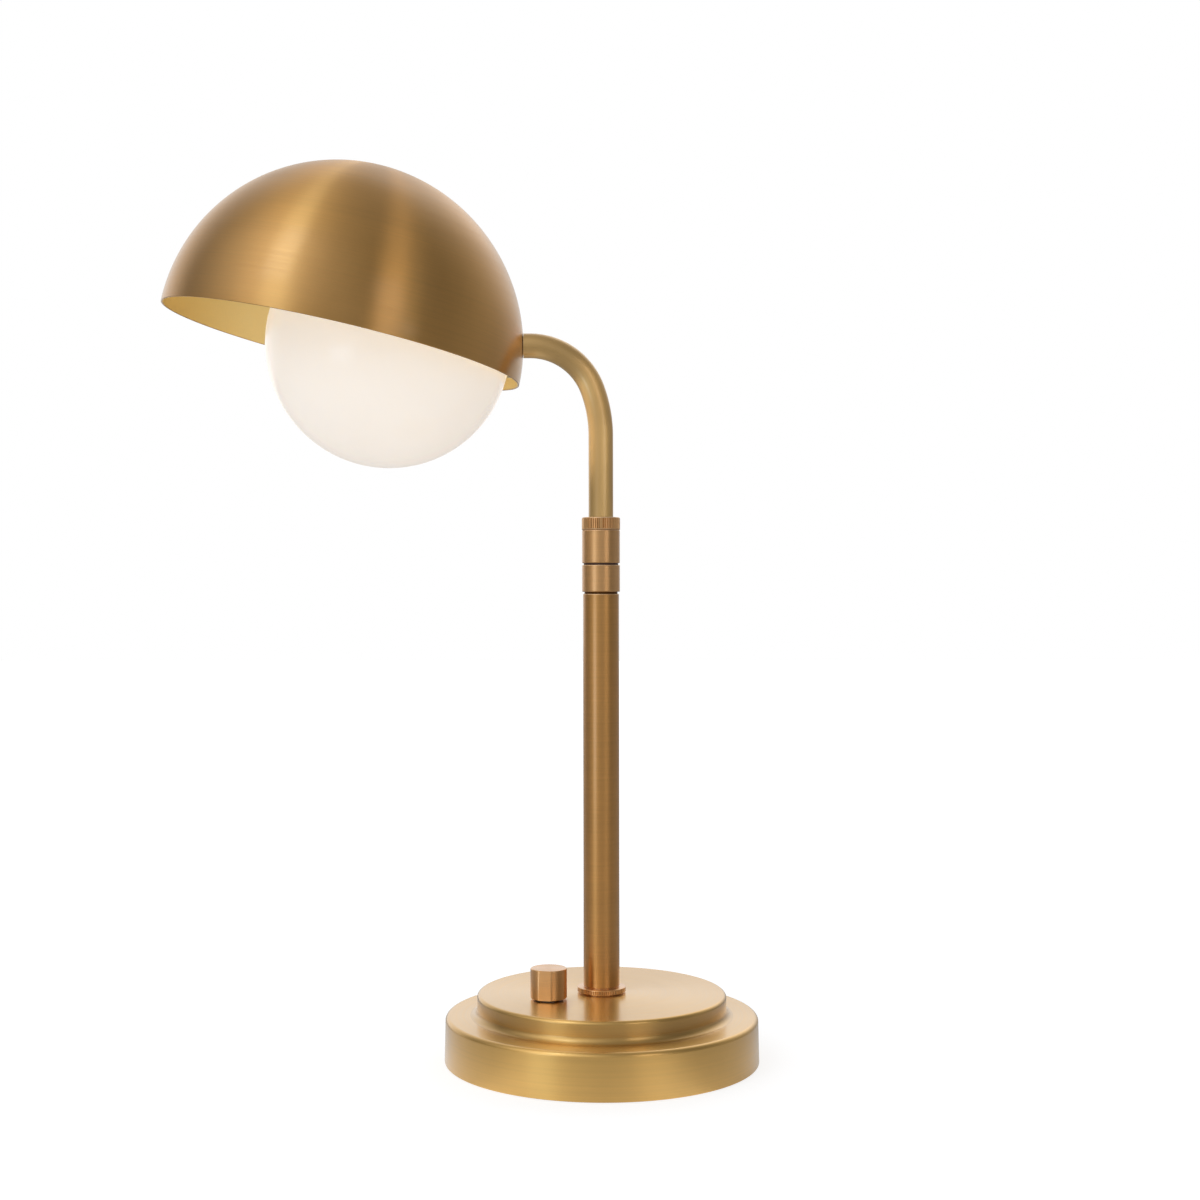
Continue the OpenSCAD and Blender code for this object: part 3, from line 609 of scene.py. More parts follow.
def cut_away(piece, tool):
    """Cuts a tool's solid out of a piece."""
    modifier = piece.modifiers.new("cut", "BOOLEAN")
    modifier.operation, modifier.solver, modifier.object = "DIFFERENCE", "EXACT", tool
    bpy.context.view_layer.update()
    evaluated = piece.evaluated_get(bpy.context.evaluated_depsgraph_get())
    cut = bpy.data.meshes.new_from_object(evaluated)
    piece.modifiers.clear()
    piece.data = cut
    bpy.data.objects.remove(tool)


def cut_flat(piece, place, way):
    """Cuts off what stands beyond a plane through a place, and closes the cut."""
    work = bmesh.new()
    work.from_mesh(piece.data)
    cut = bmesh.ops.bisect_plane(
        work, geom=work.verts[:] + work.edges[:] + work.faces[:], plane_co=place, plane_no=way,
        clear_outer=True,
    )
    edges = [e for e in cut["geom_cut"] if isinstance(e, bmesh.types.BMEdge)]
    bmesh.ops.contextual_create(work, geom=edges)
    work.to_mesh(piece.data)
    work.free()


def drill(centre, axis, radius, depth=DRILL_LENGTH):
    """A round solid to cut with, centred on a point."""
    work = bmesh.new()
    turn = UP.rotation_difference(Vector(axis)).to_matrix().to_4x4()
    bmesh.ops.create_cone(
        work, cap_ends=True, segments=48, radius1=radius, radius2=radius, depth=depth,
        matrix=Matrix.Translation(centre) @ turn,
    )
    mesh = bpy.data.meshes.new("drill")
    work.to_mesh(mesh)
    work.free()
    return make_object("drill", mesh, [])


def swept_tube(name, path, radius, bore, finish, segments=64):
    """A pipe along a path in the XZ plane, with its bore."""
    points, faces = [], []
    for i, here in enumerate(path):
        way = (path[min(i + 1, len(path) - 1)] - path[max(i - 1, 0)]).normalized()
        side = Vector((0, 1, 0))
        out = side.cross(way)
        for r in (radius, bore):
            for s in range(segments):
                a = 2 * math.pi * s / segments
                points.append(here + (side * math.cos(a) + out * math.sin(a)) * r)

    def wall(first, second, s):
        """A face between two rings, each given by its place on the path and its skin."""
        (a, b), (c, d) = [
            [(2 * i + skin) * segments + t % segments for t in (s, s + 1)]
            for i, skin in (first, second)
        ]
        return [b, a, c, d]

    last = len(path) - 1
    for i in range(last):
        for s in range(segments):
            faces.append(wall((i, 0), (i + 1, 0), s))
            faces.append(wall((i + 1, 1), (i, 1), s))
    for s in range(segments):
        faces.append(wall((0, 1), (0, 0), s))
        faces.append(wall((last, 0), (last, 1), s))
    mesh = bpy.data.meshes.new(name)
    mesh.from_pydata(points, [], faces)
    mesh.polygons.foreach_set("use_smooth", [True] * len(faces))
    # A map whose U runs once round the pipe and whose V is the distance along it
    run = [0.0]
    for a, b in zip(path, path[1:]):
        run.append(run[-1] + (b - a).length)
    wound = mesh.uv_layers.new(name="wound").data
    for face in mesh.polygons:
        turns = [mesh.loops[i].vertex_index % segments / segments for i in face.loop_indices]
        for i, u in zip(face.loop_indices, turns):
            if max(turns) - min(turns) > 0.5 and u < 0.5:
                u += 1
            wound[i].uv = (u, run[mesh.loops[i].vertex_index // (2 * segments)])
    mesh.set_sharp_from_angle(angle=math.radians(40))
    return make_object(name, mesh, [finish])


def place_on(piece, body, slot, *nodes):
    """Says which body a piece rides on and what it replaces. The slot it is given is not used."""
    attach(piece, body)
    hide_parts(*nodes)
    return piece


def paint_nodes(finish, *nodes):
    """Gives CAD nodes that are shown as they are a finish."""
    for name in nodes:
        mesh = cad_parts[name].data
        mesh.materials.clear()
        mesh.materials.append(finish)


# Operators: one for each piece or group of like pieces

class LAMP_OT_shade(bpy.types.Operator):
    """Makes the half-ball shade: brushed brass outside, satin gold inside"""
    bl_idname = "lamp.shade"
    bl_label = "Shade"

    def execute(self, context):
        sizes, colours = context.scene.lamp_sizes, context.scene.lamp_colours
        outside = brushed_brass(
            "spun_brass_shade", colours.shade, colours.patina, SHADE_CENTRE, SHADE_AXIS,
            blur=(0.045, 0.45), pitch=sizes.brush_pitch, coat=0.6,
        )
        inside = satin_metal("satin_gold_inside", colours.shade_inside, roughness=0.5, variation=0.04)
        inner = SHADE_RADIUS - sizes.shade_wall
        rim = sizes.shade_rim
        low = math.asin(rim / SHADE_RADIUS)
        quarter = math.pi / 2
        skin = arc((0, 0), SHADE_RADIUS, low, quarter, 96)
        lining = arc((0, 0), inner, quarter, low, 96, inward=True)
        lip = (arc((inner + rim, rim), rim, math.pi, 3 * quarter, 6)
               + arc((SHADE_RADIUS - rim, rim), rim, 3 * quarter, 4 * quarter, 6))
        outline = skin + lining + lip
        edge = len(skin)
        piece = turned(
            "shade_shell", outline, [outside, inside], SHADE_CENTRE, SHADE_AXIS, 256,
            paint=lambda i, angle: 1 if edge <= i < edge + len(lining) - 1 else 0,
        )
        hole = half_width("arm_nipple") + 0.2 * MM
        cut_away(piece, drill((ARM_END - 3 * MM, 0, ARM_LINE), (1, 0, 0), hole))
        shade_as_turned(piece, outline, SHADE_CENTRE, SHADE_AXIS)
        place_on(piece, "arm", "spun_brass", "shade_dome")
        return {"FINISHED"}


class LAMP_OT_globe(bpy.types.Operator):
    """Makes the opal globe with its neck"""
    bl_idname = "lamp.globe"
    bl_label = "Globe"

    def execute(self, context):
        sizes, colours = context.scene.lamp_sizes, context.scene.lamp_colours
        neck = half_width("globe_gasket")
        neck_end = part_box("globe")[1].x - GLOBE_CENTRE.x
        bore = neck - sizes.globe_wall
        inner = GLOBE_RADIUS - sizes.globe_wall
        lip = 0.5 * MM
        # The outline's "up" runs along the arm's line, from the far pole to the neck
        outer_angle, inner_angle = math.acos(neck / GLOBE_RADIUS), math.acos(bore / inner)
        outline = arc((0, 0), GLOBE_RADIUS, -math.pi / 2, outer_angle, 128)
        # Of the neck's outline only the two rounds of its lip are used
        neck_wall = rounded([(neck, neck_end, lip), (bore, neck_end, lip), (bore, 0, 0), (neck, 0, 0)])
        outline += neck_wall[:2 * (ROUND_STEPS + 1)]
        outline += arc((0, 0), inner, inner_angle, -math.pi / 2, 128, inward=True)
        piece = turned("globe_glass", outline, [opal_glass(colours.opal)], GLOBE_CENTRE, (1, 0, 0))
        place_on(piece, "arm", "opal_glass", "globe")
        return {"FINISHED"}


class LAMP_OT_arm(bpy.types.Operator):
    """Makes the bent arm tube"""
    bl_idname = "lamp.arm"
    bl_label = "Arm"

    def execute(self, context):
        sizes, colours = context.scene.lamp_sizes, context.scene.lamp_colours
        wide, tight, angle = sizes.bend_wide, sizes.bend_tight, sizes.bend_angle
        start = ARM_LINE - tight - (wide - tight) * math.sin(angle)
        path = [Vector((0, 0, z)) for z in spaced(ARM_FOOT, start, 40)]
        path += [
            Vector((wide * (math.cos(a) - 1), 0, start + wide * math.sin(a)))
            for a in spaced(0, angle, 12)
        ]
        corner = Vector((-wide + (wide - tight) * math.cos(angle), 0, ARM_LINE - tight))
        path += [
            corner + Vector((tight * math.cos(a), 0, tight * math.sin(a)))
            for a in spaced(angle, math.pi / 2, 36)
        ]
        path += [Vector((x, 0, ARM_LINE)) for x in (*spaced(corner.x, ARM_END, 3), ARM_END)]
        finish = drawn_brass(
            "drawn_brass_arm", colours.arm, colours.patina, ARM_RADIUS, blur=(0.05, 0.34),
        )
        piece = swept_tube("arm_pipe", path, ARM_RADIUS, ARM_RADIUS - sizes.arm_wall, finish)
        place_on(piece, "arm", "turned_brass", "arm_tube")
        return {"FINISHED"}


# Knurls and worn edges

def knurl(teeth, depth, low, high, mark=False):
    """How far a straight knurl is cut in at an angle and a height. One wider land marks it."""
    def cut(angle, height):
        if not low < height < high:
            return 0
        off = abs((angle - MARK_ANGLE + math.pi) % (2 * math.pi) - math.pi)
        if mark and off < 1.2 * math.pi / teeth:
            return 0
        wave = abs(angle * teeth / (2 * math.pi) % 1 - 0.5) * 2
        return depth * max(0, 2 * wave - 1)
    return cut


def stretch(outline, across, low, high):
    """Adds the points between which a knurl runs, each as a close pair, to an outline's wall."""
    for i, (place, normal) in enumerate(outline):
        after = outline[(i + 1) % len(outline)][0]
        upright = abs(place.x - across) < HAIR and abs(after.x - across) < HAIR
        if upright and place.y < low < after.y:
            heights = (low - RUNNING, low, high, high + RUNNING)
            extra = [(Vector((across, z)), Vector((1, 0))) for z in heights]
            return outline[:i + 1] + extra + outline[i + 1:]
    raise ValueError("the outline has no outer wall between these heights")


def on_edge(outline, i, both=False):
    """Whether a stretch of the outline is the round of an outer top edge, or of either edge."""
    (here, facing), (there, turned_to) = outline[i], outline[(i + 1) % len(outline)]
    lean = (facing.y + turned_to.y) / 2
    outer = min(here.x, there.x) > POST_RADIUS - 0.7 * MM
    return outer and 0.1 < (abs(lean) if both else lean) < 0.95


def highlight_on_edges(outline):
    """Gives the second material, the painted highlight, to the outer top edges of a turned piece."""
    return lambda i, angle: 1 if on_edge(outline, i) else 0


def in_the_grooves(outline, ribs, depth, edge=0):
    """Gives the second material to the depth of a knurl's grooves, and another, the painted
    highlight, to the outer edges."""
    def number(i, angle):
        height = (outline[i][0].y + outline[(i + 1) % len(outline)][0].y) / 2
        if outline[i][1].x > 0.3 and ribs(angle, height) > 0.5 * depth:
            return 1
        return edge if on_edge(outline, i, both=True) else 0
    return number


class LAMP_OT_collar(bpy.types.Operator):
    """Makes the collar: the fixed sleeve, the sleeve that turns and the knurled lock ring"""
    bl_idname = "lamp.collar"
    bl_label = "Collar"

    def execute(self, context):
        sizes, colours = context.scene.lamp_sizes, context.scene.lamp_colours
        finish = ring_brass(context, "turned_brass_collar")
        neck_shade = patina_and_groove_shade("patina_and_groove_shade", colours.patina)
        dull = patina_and_groove_shade("patinated_knurls", colours.groove)
        patina_and_edge_highlight = edge_highlight_brass(colours.edge)
        self.fixed_sleeve(sizes, [finish, neck_shade, patina_and_edge_highlight])
        self.turning_sleeve(sizes, [finish, patina_and_edge_highlight])
        self.lock_ring(sizes, [finish, dull, patina_and_edge_highlight])
        return {"FINISHED"}

    def fixed_sleeve(self, sizes, finishes):
        """The sleeve fixed in the post's top, whose neck is the groove under it, darkened with painted
        shade.
        """
        low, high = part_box("lower_sleeve")
        out, ring = half_width("lower_sleeve"), sizes.ring_round
        seat, neck = POST_TOP + sizes.groove, POST_RADIUS - sizes.groove_depth
        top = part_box("swivel_washer")[0].z
        spigot = POST_RADIUS - sizes.post_wall - RUNNING
        outline = rounded([
            (COLLAR_BORE, low.z, EASED), (spigot, low.z, EASED), (spigot, POST_TOP - MM, BROKEN),
            (neck, POST_TOP, BROKEN), (neck, seat, BROKEN), (out, seat, ring), (out, top, ring),
            (JOURNAL_RADIUS, top, BROKEN), (JOURNAL_RADIUS, high.z, EASED), (COLLAR_BORE, high.z, EASED),
        ])

        def paint(i, angle):
            here = outline[i][0]
            in_groove = abs(here.y - POST_TOP - sizes.groove / 2) < 0.6 * sizes.groove
            # The neck inside the groove is given the dark brass as painted shade
            if in_groove and here.x < POST_RADIUS - 0.2 * MM:
                return 1
            # The outer top edges get the painted highlight
            return 2 if on_edge(outline, i) else 0

        piece = turned("collar_fixed", outline, finishes, paint=paint)
        place_on(piece, "base", "turned_brass", "lower_sleeve")

    def turning_sleeve(self, sizes, finishes):
        """The sleeve that turns with the arm, with its thread and its retaining screw's hole."""
        low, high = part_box("swivel_sleeve")
        out, ring = half_width("swivel_sleeve"), sizes.ring_round
        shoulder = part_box("lock_ring")[0].z - RUNNING
        journal, journal_top = JOURNAL_RADIUS + RUNNING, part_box("lower_sleeve")[1].z
        cone_foot, ceiling = journal_top + 2 * MM, journal_top + 0.3 * MM
        outline = rounded([
            (journal, low.z, BROKEN), (out, low.z, ring), (out, shoulder, ring),
            (THREAD_RADIUS, shoulder, BROKEN), (THREAD_RADIUS, high.z, EASED),
            (COLLAR_BORE + 0.6 * MM, high.z, BROKEN), (COLLAR_BORE + 0.2 * MM, cone_foot, BROKEN),
            (COLLAR_BORE, ceiling, BROKEN), (journal, ceiling, BROKEN),
        ])
        piece = turned("collar_turning", outline, finishes, paint=highlight_on_edges(outline))
        screw = middle("swivel_screw")
        cut_away(piece, drill((screw.x, out, screw.z), (0, 1, 0), SWIVEL_SCREW_HOLE))
        shade_as_turned(piece, outline)
        place_on(piece, "swivel", "turned_brass", "swivel_sleeve")

    def lock_ring(self, sizes, finishes):
        """The knurled ring that squeezes the collet on the arm."""
        low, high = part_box("lock_ring")
        out, lip = half_width("lock_ring"), high.z - 1.6 * MM
        thread, corner = THREAD_RADIUS + RUNNING, 0.7 * MM
        outline = rounded([
            (thread, low.z, BROKEN), (out, low.z, corner), (out, high.z, corner),
            (COLLAR_BORE, high.z, 0.3 * MM), (COLLAR_BORE, lip, BROKEN), (thread, lip, BROKEN),
        ])
        margin = corner + 0.1 * MM
        outline = stretch(outline, out, low.z + margin + BROKEN, high.z - margin - BROKEN)
        ribs = knurl(sizes.lock_teeth, sizes.knurl_depth, low.z + margin, high.z - margin, mark=True)
        piece = turned(
            "collar_lock", outline, finishes, segments=12 * sizes.lock_teeth, ribs=ribs,
            paint=in_the_grooves(outline, ribs, sizes.knurl_depth, edge=2),
        )
        place_on(piece, "lock", "turned_brass", "lock_ring")


class LAMP_OT_post(bpy.types.Operator):
    """Makes the post and the knurled ring at its foot, with the collar's finishes on the rings"""
    bl_idname = "lamp.post"
    bl_label = "Post"

    def execute(self, context):
        sizes, colours = context.scene.lamp_sizes, context.scene.lamp_colours
        finish = brushed_brass(
            "brushed_brass_post", colours.post, colours.patina, (0, 0, 0), UP,
            blur=(0.11, 0.24), pitch=0.9 * sizes.brush_pitch, streak=0.6,
        )
        turned_finish, dull, patina_and_edge_highlight = (
            bpy.data.materials[name]
            for name in ("turned_brass_collar", "patinated_knurls", "painted_edge_highlight")
        )
        bore = POST_RADIUS - sizes.post_wall
        tube = rounded([
            (bore, POST_FOOT, EASED), (POST_RADIUS, POST_FOOT, 0.4 * MM),
            (POST_RADIUS, POST_TOP, 0.6 * MM), (bore, POST_TOP, 0.3 * MM),
        ])
        # The post's top edge gets the painted highlight
        piece = turned("post_pipe", tube, [finish, patina_and_edge_highlight], paint=highlight_on_edges(tube))
        place_on(piece, "base", "turned_brass", "post_tube")
        self.foot_ring(sizes, [turned_finish, dull])
        return {"FINISHED"}

    def foot_ring(self, sizes, finishes):
        """The knurled ring, relieved at its foot, with a seat for the post's tube."""
        low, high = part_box("foot_ring")
        out, seat, ease = half_width("foot_ring"), POST_RADIUS - 0.6 * MM, 0.3 * MM
        under = out - 1.5 * MM
        band, relief = POST_FOOT - 0.4 * MM, BASE_TOP + 0.6 * MM
        ring = rounded([
            (STUD_HOLE, low.z, BROKEN), (under, low.z, EASED), (under, relief, BROKEN),
            (out, relief, ease), (out, band, ease), (seat, band, BROKEN),
            (seat, high.z, BROKEN), (STUD_HOLE, high.z, BROKEN),
        ])
        ring = stretch(ring, out, relief + 0.45 * MM, band - 0.45 * MM)
        ribs = knurl(sizes.foot_teeth, sizes.knurl_depth, relief + 0.42 * MM, band - 0.42 * MM)
        piece = turned(
            "foot_knurl", ring, finishes, segments=12 * sizes.foot_teeth, ribs=ribs,
            paint=in_the_grooves(ring, ribs, sizes.knurl_depth),
        )
        place_on(piece, "base", "turned_brass", "foot_ring")


class LAMP_OT_base(bpy.types.Operator):
    """Makes the base's spun cover, with its holes for the knob and the cord"""
    bl_idname = "lamp.base"
    bl_label = "Base"

    # How much of its colour the brass keeps between the tiers: a painted shade that darkens the cove
    PAINTED_RECESS_SHADE = 0.84

    def execute(self, context):
        sizes, colours = context.scene.lamp_sizes, context.scene.lamp_colours
        finishes = [
            brushed_brass(
                name, [part * share for part in colours.base], colours.patina, (0, 0, 0), UP,
                blur=(0.06, 0.22), pitch=sizes.brush_pitch,
            )
            for name, share in (("spun_brass_base", 1), ("spun_brass_painted_recess_shade", self.PAINTED_RECESS_SHADE))
        ]
        wall, tier, step = sizes.cover_wall, sizes.tier_radius, sizes.step_height
        ceiling, ledge = BASE_TOP - wall, step - wall
        brow, foot = BASE_RADIUS - 0.5 * MM, 0.3 * MM
        cover = rounded([
            (BASE_RADIUS, BASE_FOOT, foot), (brow, step, sizes.step_round),
            (tier, step, sizes.cove_round), (tier, BASE_TOP, sizes.tier_round),
            (STUD_HOLE, BASE_TOP, BROKEN), (STUD_HOLE, ceiling, BROKEN),
            (tier - wall, ceiling, sizes.tier_round - wall), (tier - wall, ledge, 0.3 * MM),
            (brow - wall, ledge, sizes.step_round - wall), (BASE_RADIUS - wall, BASE_FOOT, foot),
        ], steps=12)

        def in_recess(i, angle):
            """The darker material, a painted shade, goes from the cove up to the tier's top round."""
            here, there = cover[i][0], cover[(i + 1) % len(cover)][0]
            half = sizes.cove_round / 2
            near = abs(here.x - tier - half) < half + 0.1 * MM
            above = min(here.y, there.y) >= step
            return 1 if near and above and there.y < BASE_TOP - 0.6 * sizes.tier_round else 0

        piece = turned("base_shell", cover, finishes, segments=256, paint=in_recess)
        cut_away(piece, drill((KNOB_CENTRE.x, KNOB_CENTRE.y, BASE_TOP), UP, DIMMER_HOLE))
        cut_away(piece, drill((0, BASE_RADIUS, INLET_Z), (0, 1, 0), INLET_HOLE))
        shade_as_turned(piece, cover)
        place_on(piece, "base", "spun_brass", "base_cover")
        return {"FINISHED"}


class LAMP_OT_knob(bpy.types.Operator):
    """Makes the dimmer knob, with the flat that marks its setting"""
    bl_idname = "lamp.knob"
    bl_label = "Knob"

    def execute(self, context):
        sizes = context.scene.lamp_sizes
        finish = ring_brass(context, "turned_brass_knob", KNOB_CENTRE)
        pocket, roof = KNOB_RADIUS - 1.8 * MM, KNOB_LOW.z + 4 * MM
        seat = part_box("dimmer_shaft")[1].z + 0.3 * MM
        body = rounded([
            (SHAFT_BORE, roof, BROKEN), (pocket, roof, 0.3 * MM), (pocket, KNOB_LOW.z, EASED),
            (KNOB_RADIUS, KNOB_LOW.z, 0.5 * MM), (KNOB_RADIUS, KNOB_HIGH.z, 0.7 * MM),
            (0, KNOB_HIGH.z, 0), (0, seat, 0), (SHAFT_BORE, seat, 0),
        ])
        piece = turned("knob_cap", body, [finish], centre=KNOB_CENTRE)
        way = Vector((math.cos(KNOB_FACING), math.sin(KNOB_FACING), 0))
        cut_flat(piece, KNOB_CENTRE + way * (KNOB_RADIUS - sizes.knob_flat), way)
        screw = KNOB_CENTRE + Vector((0, 7 * MM, middle("knob_screw").z))
        cut_away(piece, drill(screw, (0, 1, 0), KNOB_SCREW_HOLE, 10 * MM))
        shade_as_turned(piece, body, KNOB_CENTRE)
        place_on(piece, "knob", "turned_brass", "dimmer_knob")
        return {"FINISHED"}


class LAMP_OT_fittings(bpy.types.Operator):
    """Finishes the fittings and inner parts that keep their CAD shapes"""
    bl_idname = "lamp.fittings"
    bl_label = "Fittings"

    def execute(self, context):
        # Zinc-plated steel, cold and slightly cloudy
        zinc = satin_metal(
            "zinc_plated_steel", linear("#B9BBBE"), roughness=0.38, variation=0.1, grain=1.2 * MM,
        )
        paint_nodes(
            zinc, "bottom_plate", "plate_screws", "dimmer_nut", "base_spacer", "post_stud",
            "stud_washer", "stud_nut", "post_plug", "swivel_screw", "arm_nipple", "spring_washer",
            "cup_nut", "dimmer_shaft", "knob_screw",
        )
        # Grey cast iron as it leaves the sand, painted black
        iron = moulded("sand_cast_iron", "#2B2C2E", 0.7, 1.5, 1.5 * MM, variation=0.2, bump=0.8)
        paint_nodes(iron, "base_weight")
        # Pressed wool felt: soft, fibrous, with a faint sheen
        felt = moulded("wool_felt", "#33271F", 0.95, 1.5, 0.6 * MM, variation=0.35, bump=1.0, sheen=0.4)
        paint_nodes(felt, "felt_pad")
        # Black rubber of the bushing, the gasket and the wires' sleeves: moulded, matt
        rubber = moulded("moulded_rubber", "#1B1A1A", 0.6, 1.52, 0.7 * MM, variation=0.12)
        paint_nodes(
            rubber, "cord_bushing", "dimmer_lead", "post_lead", "slack_lead", "arm_lead",
            "globe_gasket",
        )
        # Brown nylon of the friction parts, with the dull skin of moulding
        nylon = moulded("moulded_nylon", "#4A3524", 0.5, 1.53, 0.8 * MM)
        paint_nodes(nylon, "swivel_washer", "arm_collet", "guide_bush", "saddle_washer")
        # Black phenolic resin of the dimmer's case, pressed hot: smooth, a little glossy
        resin = moulded("phenolic_resin", "#1F1C1B", 0.35, 1.6, 1.0 * MM, variation=0.15, bump=0.15)
        paint_nodes(resin, "dimmer_body")
        # Unglazed steatite, fired white, with a fine dry grain
        steatite = moulded("fired_steatite", "#EDEAE1", 0.45, 1.6, 0.9 * MM, variation=0.04, bump=0.4)
        paint_nodes(steatite, "terminal_block", "lampholder", "bulb_cap")
        # Phosphor in resin, cast round the lamp's light column: matt yellow
        phosphor = moulded("yellow_phosphor", "#F0C84A", 0.6, 1.45, 0.6 * MM, variation=0.12, bump=0.5)
        paint_nodes(phosphor, "bulb_core")
        paint_nodes(clear_glass(), "bulb_envelope")
        # Brass of the globe's cup and the arm's plug, with the satin finish of the shade's inside
        inside = context.scene.lamp_colours.shade_inside
        gold = satin_metal("satin_brass_fittings", inside, roughness=0.4, variation=0.06)
        paint_nodes(gold, "globe_cup", "arm_plug")
        return {"FINISHED"}


# The stage

CAMERA_PLACE = Vector((-0.0181, -0.9186, 0.2417))
CAMERA_ROLL = 0.0015  # radians about its line of sight
FOCAL_PIXELS, FRAME_PIXELS, SENSOR = 1741.5, 1200, 36.0
VIEW_CENTRE = (566.7, 600.4)  # the pixel of the 1200 by 1200 frame that the camera faces
FLOOR_REACH = 6

# What stands round the lamp at each bearing from the camera's side, round to its right: how
# bright it is at the lamp's height and higher up, beside a white of 1, and how well lit the floor
# is on that side, beside its usual brightness
CARDS = (
    (-180, 0.9, 0.9, 0.8), (180, 0.9, 0.9, 0.8), (-150, 0.95, 0.8, 0.9), (-130, 0.75, 0.5, 1.0),
    (-110, 0.18, 0.25, 1.0), (-90, 0.12, 0.6, 1.05), (-70, 0.18, 1.0, 1.1), (-55, 0.4, 1.45, 1.2),
    (-45, 0.6, 1.25, 1.6), (-35, 0.64, 1.2, 1.6), (-25, 0.45, 1.1, 1.1), (-12, 0.33, 0.85, 0.9),
    (0, 0.42, 0.55, 0.85), (12, 0.45, 0.4, 1.1), (25, 0.3, 0.25, 1.6), (35, 0.17, 0.2, 1.5),
    (45, 0.13, 0.25, 0.9), (60, 0.13, 0.27, 0.7), (80, 0.22, 0.15, 0.75), (100, 0.28, 0.22, 0.75),
    (120, 0.2, 0.45, 0.65), (140, 0.35, 0.95, 0.6), (160, 0.6, 1.35, 0.7),
)
CARD_SCALE = 2.0  # a colour ramp holds 1 at most, so the cards go into it divided by this
CEILING = 0.3

# The soft lamps: name, bearing in degrees as for the cards, distance from the post, height, width
# and tallness in metres, how bright it looks beside a white of 1, and colour
LAMPS = (
    ("key_lamp", -42, 1.25, 1.8, 0.42, 1.5, 1.8, "#C8E0FF"),
    ("key_foot", -42, 1.25, 0.12, 0.42, 0.24, 2.1, "#C8E0FF"),
    ("side_card", 36, 1.8, 0.48, 0.8, 0.2, 1.7, "#FFFFFF"),
    ("fill_lamp", 33, 1.8, 1.1, 0.6, 0.9, 1.2, "#FFF4EE"),
)


def softbox(name, bearing, distance, height, width, tall, radiance, code):
    """A soft lamp that stands beside the camera's line, faces the post and isn't seen itself."""
    lamp = bpy.data.lights.new(name, "AREA")
    lamp.shape, lamp.size, lamp.size_y = "RECTANGLE", width, tall
    lamp.energy = radiance * math.pi * width * tall
    lamp.color = linear(code)
    stand = bpy.data.objects.new(name, lamp)
    bpy.context.scene.collection.objects.link(stand)
    a = math.radians(bearing)
    place = Vector((math.sin(a) * distance, -math.cos(a) * distance, height))
    stand.location = place
    stand.rotation_euler = (place - Vector((0, 0, height))).to_track_quat("Z", "Y").to_euler()
    stand.visible_camera = False


